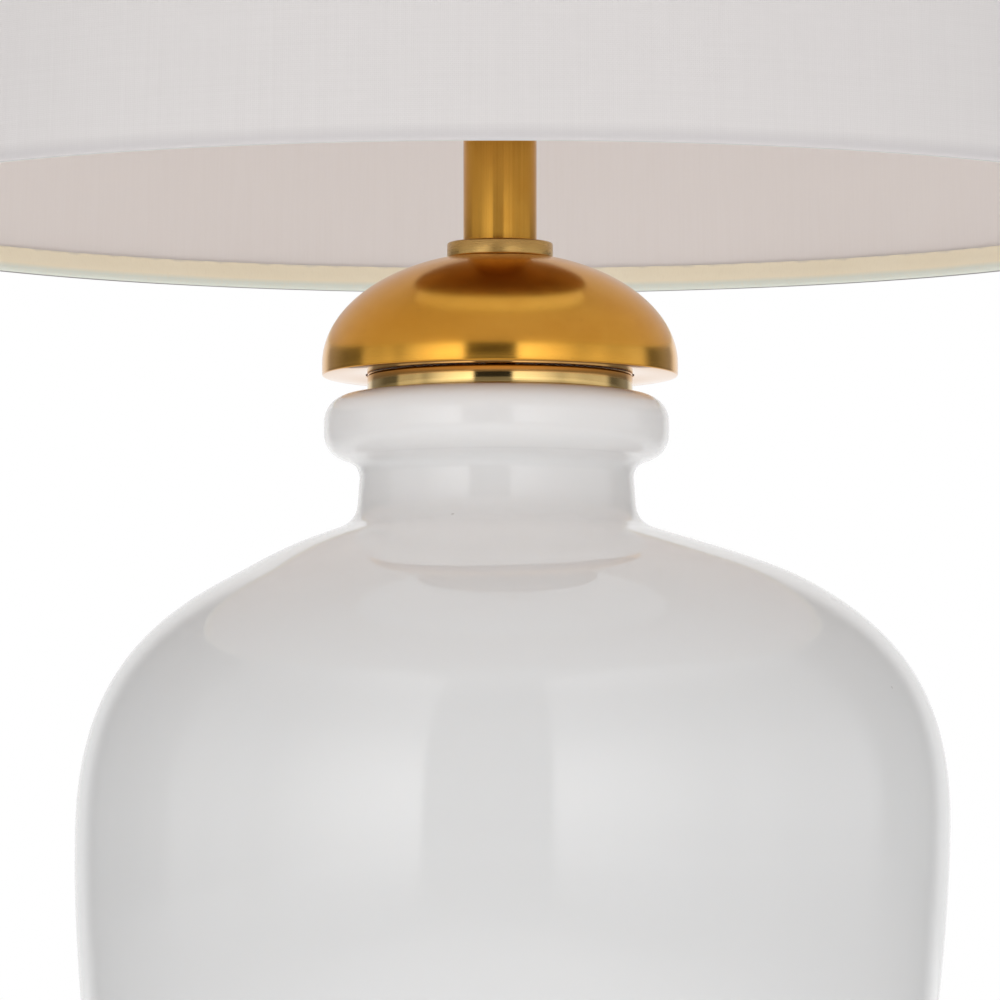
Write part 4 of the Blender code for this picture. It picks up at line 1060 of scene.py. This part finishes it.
# ---------------------------------------------------------------- harp
def make_saddle():
    """Stamped strip bent up at both ends, with a hole for the rod."""
    low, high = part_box("harp_saddle")
    level = low.z + SADDLE_THICKNESS / 2
    bend = 0.0042
    path = [(x, level) for x in (0.0, 0.0060, 0.0120, 0.0200)]
    path += arc((SADDLE_HALF_WIDTH - bend, level + bend), (bend, bend), -90, 0, 10)
    path += [(SADDLE_HALF_WIDTH, z) for z in (level + 0.010, high.z - 0.0020, high.z)]

    def half_width(x, z):
        wide = 0.0095 - 0.0065 * smoothstep(0.0100, 0.0240, x)
        return wide - 0.0010 * smoothstep(level + 0.004, high.z, z)

    right = [(x, z, half_width(x, z)) for x, z in path]
    whole = [(-x, z, width) for x, z, width in reversed(right[1:])] + right
    points = []
    for i, (x, z, width) in enumerate(whole):
        before = whole[max(i - 1, 0)]
        after = whole[min(i + 1, len(whole) - 1)]
        along = Vector((after[0] - before[0], 0, after[1] - before[1])).normalized()
        up = Vector((-along.z, 0, along.x)) * SADDLE_THICKNESS / 2
        for side, lift in ((-1, -1), (1, -1), (1, 1), (-1, 1)):
            points.append(tuple(Vector((x, side * width, z)) + up * lift))
    saddle = skinned("harp_saddle_fine", points, 4)
    cut(saddle, (0, 0, low.z - 0.003), (0, 0, low.z + 0.005), ROD_HOLE_RADIUS)
    dress(softened(saddle, 0.0003, 2), STEEL, "harp_saddle")


def make_harp():
    make_saddle()
    make_bow()
    for node in ("harp_sleeve_left", "harp_sleeve_right"):
        low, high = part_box(node)
        outline = square_ring(0.0037, (high.x - low.x) / 2, 0.0, high.z - low.z)
        seat = ((middle(node).x, 0, low.z), 0)
        lathe(node, outline, SMALL_SIDES, STEEL, 0.0003, body=node.replace("harp_", ""), seat=seat)


def make_bow():
    """Bent wire loop, flattened and drilled at its top for the stud."""
    low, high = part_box("harp_bow")
    top = high.z
    leg = HARP_LEG_X
    wide = HARP_HALF_WIDTH
    knee = low.z + 0.0298
    side = [(leg, low.z), (leg, low.z + 0.012), (leg, knee - 0.004)]
    side += bezier((leg, knee), (leg, knee + 0.020), (wide, knee + 0.026), (wide, knee + 0.062), 26)
    side += bezier(side[-1], (wide, knee + 0.125), (0.030, top - 0.004), (0.010, top - 0.0010), 34)[1:]
    side += [(x, top - 0.0009) for x in (0.0075, 0.0050, 0.0025)]
    sections = []
    for x, _ in side:
        flat = 1 - smoothstep(0.0055, 0.0130, x)
        sections.append((HARP_WIRE_RADIUS + 0.0036 * flat, HARP_WIRE_RADIUS - 0.0007 * flat))
    path = [(-x, 0.0, z) for x, z in side] + [(x, 0.0, z) for x, z in reversed(side)]
    bow = swept("harp_bow_fine", path, sections + sections[::-1])
    cut(bow, (0, 0, top - 0.006), (0, 0, top + 0.004), 0.0024, 24)
    dress(bow, STEEL, "harp_bow")


# ---------------------------------------------------------------- shade
def wall_radius(height, inset=0.0):
    """Radius of the shade's slanting wall at a world height."""
    low, high = SHADE_LEVELS
    share = (height - low) / (high - low)
    return SHADE_BOTTOM_RADIUS + (SHADE_TOP_RADIUS - SHADE_BOTTOM_RADIUS) * share - inset


def wrapped_sheet(name, profile, thickness, shift=None):
    """Sheet wrapped once round the axis from +Y, its last SHEET_LAP glued over its first.

    profile lists (radius, height) up the outer face. shift(height, angle) pushes the sheet outwards.
    """
    lap = SHEET_LAP / SHADE_BOTTOM_RADIUS
    rise = 0.006 / SHADE_BOTTOM_RADIUS
    turn = math.tau + lap
    count = len(profile)
    loop = count * 2
    stops = sorted(set(spaced(0.0, turn, HUGE_SIDES) + spaced(math.tau - rise, math.tau, 4)))
    points = []
    for angle in stops:
        lift = (thickness + 0.0001) * smoothstep(math.tau - rise, math.tau, angle)
        direction = math.pi / 2 - lap / 2 + angle
        for depth in (0.0, thickness):
            for radius, height in (profile if depth == 0.0 else reversed(profile)):
                push = shift(height, direction) if shift else 0.0
                out = radius - depth + lift + push
                points.append((out * math.cos(direction), out * math.sin(direction), height))
    last = (len(stops) - 1) * loop
    faces = []
    for start in range(0, last, loop):
        faces += band(start, loop, loop)
    for i in range(count - 1):
        mirror = loop - 1 - i
        faces.append([i, mirror, mirror - 1, i + 1])
        faces.append([last + i, last + i + 1, last + mirror - 1, last + mirror])
    return finish_mesh(name, points, faces, 60)


def cloth_ripple(height, angle):
    """The glued fabric isn't quite even: waves of a tenth of a millimetre."""
    wave = math.sin(11 * angle + 9 * height) + 0.7 * math.sin(23 * angle - 31 * height + 0.8)
    return 0.00006 * wave


def make_fabric():
    """Outer linen, turned in by a small radius at both rims."""
    low, high = SHADE_LEVELS
    round_in = 0.0016
    ends = []
    for degrees in (0, 22, 45, 68):
        angle = math.radians(degrees)
        ends.append((round_in * (1 - math.cos(angle)), round_in * 0.55 * (1 - math.sin(angle))))
    levels_up = [(low + rise, inset) for rise, inset in ends]
    levels_up += [(height, 0.0) for height in spaced(low + round_in, high - round_in, 20)]
    levels_up += [(high - rise, inset) for rise, inset in reversed(ends)]
    profile = [(wall_radius(height, inset), height) for height, inset in levels_up]
    fabric = wrapped_sheet("shade_fabric_fine", profile, FABRIC_THICKNESS, cloth_ripple)
    return dress(fabric, LINEN, "shade_fabric", "shade")


def make_lining():
    heights = spaced(*levels("shade_liner"), 12)
    profile = [(wall_radius(height, LINER_INSET + 0.0001), height) for height in heights]
    lining = wrapped_sheet("shade_liner_fine", profile, LINER_THICKNESS - 0.0002)
    return dress(lining, LINING, "shade_liner", "shade")


def make_hem(node, wire_node, rim, up):
    """Tape rolled round the rim wire and glued down inside. up is 1 at the lower rim, -1 at the upper."""
    roll = HEM_ROUND

    def at(inset, depth):
        height = rim + up * depth
        return wall_radius(height, HEM_INSET + inset), height

    outline = [at(0.0, 0.0036), at(0.0, roll)]
    for degrees in range(15, 180, 15):
        angle = math.radians(degrees)
        outline.append(at(roll - roll * math.cos(angle), roll - roll * math.sin(angle)))
    for inset, depth in (
        (2 * roll, roll), (2 * roll - 0.0001, 0.0034), (0.0030, 0.0050), (0.0018, 0.0066),
        (0.0014, HEM_HEIGHT), (0.0009, HEM_HEIGHT), (0.0011, 0.0060), (0.0011, 0.0036),
    ):
        outline.append(at(inset, depth))

    def puckers(height, angle):
        inside = smoothstep(0.0030, HEM_HEIGHT, abs(height - rim))
        wave = math.sin(173 * angle) + 0.7 * math.sin(97 * angle + 2.1) + 0.6 * math.sin(31 * angle)
        return 0.0, 0.0, 0.00005 * wave * (0.35 + inside)

    hem = turned(node + "_fine", outline, HUGE_SIDES * 2, puckers)
    dress(hem, hem_tape(node + "_tape", rim, up), node, "shade")
    height = middle(wire_node).z
    centre = (wall_radius(height, HEM_INSET + roll), height)
    wire = arc(centre, (RIM_WIRE_RADIUS, RIM_WIRE_RADIUS), 0, 330, 11)
    lathe(wire_node, wire, HUGE_SIDES, STEEL, body="shade")
    return hem


def make_spider():
    """Washer and three arms, each arm flared where it is welded to the washer and the top wire."""
    make_ring("spider_washer", 0.0036, STEEL, 0.0003, SMALL_SIDES, "shade")
    hub = middle("spider_washer").z
    start = reach("spider_washer") - 0.0010
    rim_gap = 0.0062              # down from the rim and in from the wall to the arms' ends
    rim_height = SHADE_LEVELS[1] - rim_gap
    rim_radius = wall_radius(rim_height, rim_gap)
    for number in (1, 2, 3):
        angle = math.radians(90 + 120 * (number - 1))
        direction = Vector((math.cos(angle), math.sin(angle), 0))
        path = []
        sections = []
        for share in spaced(0.0, 1.0, 24):
            out = start + (rim_radius - start) * share
            path.append(tuple(direction * out + Vector((0, 0, hub + (rim_height - hub) * share))))
            weld = max(0.0, 1 - share / 0.02, 1 - (1 - share) / 0.02)
            sections.append((0.0016 + 0.0005 * weld, 0.0016 + 0.0002 * weld))
        dress(swept(f"spider_arm_{number}_fine", path, sections, 16), STEEL, f"spider_arm_{number}", "shade")


def make_stud():
    """Swivelling stud in the harp's top: head, flange and a threaded post."""
    low, high = levels("harp_stud")
    flange_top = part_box("spider_washer")[0].z - LAYER_GAP
    harp_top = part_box("harp_bow")[1].z
    flat_low = harp_top - 0.0018
    outline = [(0, low), (0.0030, low + 0.0002), (0.0034, low + 0.0006), (0.0034, flat_low - 0.0003)]
    outline += [(0.0020, flat_low - 0.0003), (0.0020, harp_top + 0.0003), (0.0060, harp_top + 0.0003)]
    outline += [(0.0063, harp_top + 0.0008), (0.0063, flange_top - 0.0005), (0.0058, flange_top)]
    outline += [(0.0031, flange_top)]
    turns = 9
    heights = spaced(flange_top + 0.0003, high - 0.0008, turns * 4)
    for i, height in enumerate(heights):
        outline.append((0.0028 + 0.0003 * (0.5 + 0.5 * math.cos(math.pi * i / 2)), height))
    outline += [(0.0024, high), (0, high)]
    lathe("harp_stud", outline, SMALL_SIDES, BRASS, body="shade")


def make_shade():
    low, high = SHADE_LEVELS
    lining = make_lining()
    hems = [make_hem("bottom_hem", "bottom_ring", low, 1), make_hem("top_hem", "top_ring", high, -1)]
    fabric = make_fabric()
    low, high = levels("shade_liner")
    make_spider()
    make_stud()


def make_finial():
    """Turned finial: stepped foot, waist, ball with a fine groove and a small tip."""
    low, high = levels("finial")
    height = high - low
    bore = 0.0034
    ball = (0.0078, 0.0078)
    centre = (0, 0.0178)
    outline = [(0, 0.0094), (bore, 0.0092), (bore, 0), (0.0076, 0)]
    outline += arc((0.0076, 0.0012), (0.0009, 0.0012), -90, 90, 8)
    outline += bezier((0.0066, 0.0028), (0.0050, 0.0032), (0.0042, 0.0056), (0.0042, 0.0082), 8)
    outline += arc((0.0042, 0.0094), (0.0009, 0.0008), -90, 90, 6)
    outline += arc(centre, ball, -54, -4, 14) + [(0.0075, 0.0178)] + arc(centre, ball, 4, 66, 16)
    outline += bezier((0.0030, 0.0252), (0.0024, 0.0258), (0.0024, 0.0266), (0.0017, height - 0.0004), 5)
    outline += [(0.0008, height), (0, height)]
    lathe("finial", moved(outline, low), 72, SATIN_BRASS, body="finial")


def dress_hidden_nodes():
    """CAD nodes whose shape is right as it is."""
    finishes = {
        "threaded_rod": STEEL, "cap_set_screw": BRASS, "socket_core": PHENOLIC, "centre_contact": BRASS,
        "live_screw": BRASS, "neutral_screw": STEEL,
    }
    for node, material in finishes.items():
        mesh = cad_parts[node].data
        mesh.materials.clear()
        mesh.materials.append(material)


# ---------------------------------------------------------------- studio
def studio_surface():
    """White paper sweep lit from below: bright near the lamp and behind it, dim at the sides."""
    s = Surface("studio_floor")
    x = s.node("SeparateXYZ", {0: s.place}).outputs[0]
    _, sine, radius, _ = s.around
    near = s.span(s.math("ABSOLUTE", x), 0.35, 1.10, FLOOR_GLOW, 0.20)
    far = s.span(sine, 0.80, 0.92, 0.08, 0.85)
    glow = s.span(radius, 0.9, 2.2, near, far)
    return s.finish(
        base_color=s.mix(s.noise(2.0), (0.42, 0.42, 0.42), (0.38, 0.38, 0.38)), roughness=0.8,
        specular_ior_level=0.2, emission_color=(1.0, 1.0, 1.0), emission_strength=glow,
    )


def make_floor():
    size = 40.0
    points = [(-size, -size, 0), (size, -size, 0), (size, size, 0), (-size, size, 0)]
    floor = finish_mesh("studio_floor", points, [[0, 1, 2, 3]])
    floor.location.z = -0.0002
    floor.data.materials.append(studio_surface())


def make_softbox(name, azimuth, spread, radiance, fade_left, fade_right):
    """Tall upright soft light that fades upwards and sideways.

    Azimuth is in degrees to the camera's right. The fades are the shares of the width, seen from the
    lamp, over which it brightens from each side.
    """
    width = 2 * LIGHT_DISTANCE * math.tan(math.radians(spread / 2))
    angle = math.radians(azimuth)
    light = bpy.data.lights.new(name, "AREA")
    light.shape = "RECTANGLE"
    light.size = width
    light.size_y = LIGHT_HEIGHT
    light.energy = math.pi * width * LIGHT_HEIGHT * radiance
    light.use_nodes = True
    n = Nodes(light.node_tree)
    x, y, _ = n.node("SeparateXYZ", {0: n.node("NewGeometry").outputs["Parametric"]}).outputs
    sideways = n.product(n.fade(x, 0.0, fade_left), n.fade(x, 1.0, 1.0 - fade_right))
    strength = n.product(n.product(sideways, n.fade(y, *LIGHT_FOOT)), n.fade(y, *LIGHT_FADE))
    n.put(n.tree.nodes["Emission"].inputs["Strength"], strength)
    box = placed(name, light)
    box.location = (LIGHT_DISTANCE * math.sin(angle), -LIGHT_DISTANCE * math.cos(angle), LIGHT_HEIGHT / 2)
    box.rotation_euler = (math.radians(90), 0, angle)
    box.visible_camera = False


def make_lights():
    for light in (
        ("key_right", 44, 70, 1.85, 0.06, 0.95), ("fill_right", 82, 62, 0.66, 0.3, 0.2),
        ("key_left", -53, 64, 2.15, 0.95, 0.06), ("strip_left", -84, 36, 0.55, 0.2, 0.3),
    ):
        make_softbox(*light)
    make_shade_light()


def make_shade_light():
    """Soft light in the middle of the shade, for the daylight that comes through its linen."""
    light = bpy.data.lights.new("through_the_shade", "POINT")
    light.shadow_soft_size = SHADE_LIGHT_RADIUS
    light.energy = (2 * math.pi * SHADE_LIGHT_RADIUS) ** 2 * SHADE_LIGHT
    lamp = placed("through_the_shade", light)
    lamp.location.z = SHADE_LIGHT_HEIGHT
    lamp.visible_camera = False
    lamp.visible_glossy = False


def make_world():
    """White behind the lamp, dim at the sides and in front. The camera sees plain white."""
    world = bpy.data.worlds.new("studio")
    world.use_nodes = True
    bpy.context.scene.world = world
    n = Nodes(world.node_tree)
    n.tree.nodes.clear()
    _, forward, up = n.node("SeparateXYZ", {0: n.node("TexCoord").outputs["Generated"]}).outputs
    level = n.fade(forward, 0.35, -0.35, WORLD_SIDE, WORLD_FRONT)
    level = n.blend(n.fade(forward, 0.45, 0.75), level, WORLD_CORNER)
    level = n.blend(n.fade(up, 0.60, 0.85), level, WORLD_TOP)
    level = n.blend(n.fade(forward, 0.80, 0.92), level, WORLD_BACK)
    seen = n.blend(n.node("LightPath").outputs["Is Camera Ray"], level, 1.0)
    background = n.node("Background", {"Color": (1.0, 1.0, 1.0, 1.0), "Strength": seen})
    n.node("OutputWorld", {"Surface": background.outputs[0]})


def make_camera():
    data = bpy.data.cameras.new("camera")
    data.lens = CAMERA_LENS
    data.sensor_width = 36.0
    data.clip_start = 0.1
    data.clip_end = 100.0
    camera = placed("camera", data)
    camera.location = CAMERA_PLACE
    camera.rotation_euler = (math.radians(90 + CAMERA_PITCH), 0, 0)
    bpy.context.scene.camera = camera
    bpy.context.scene.view_settings.view_transform = "Standard"


make_camera()
make_world()
make_lights()
make_floor()

make_foot()
make_jar()
make_clamp_parts()
make_neck()
make_socket()
make_switch()
make_bulb()
make_harp()
make_shade()
make_finial()
dress_hidden_nodes()
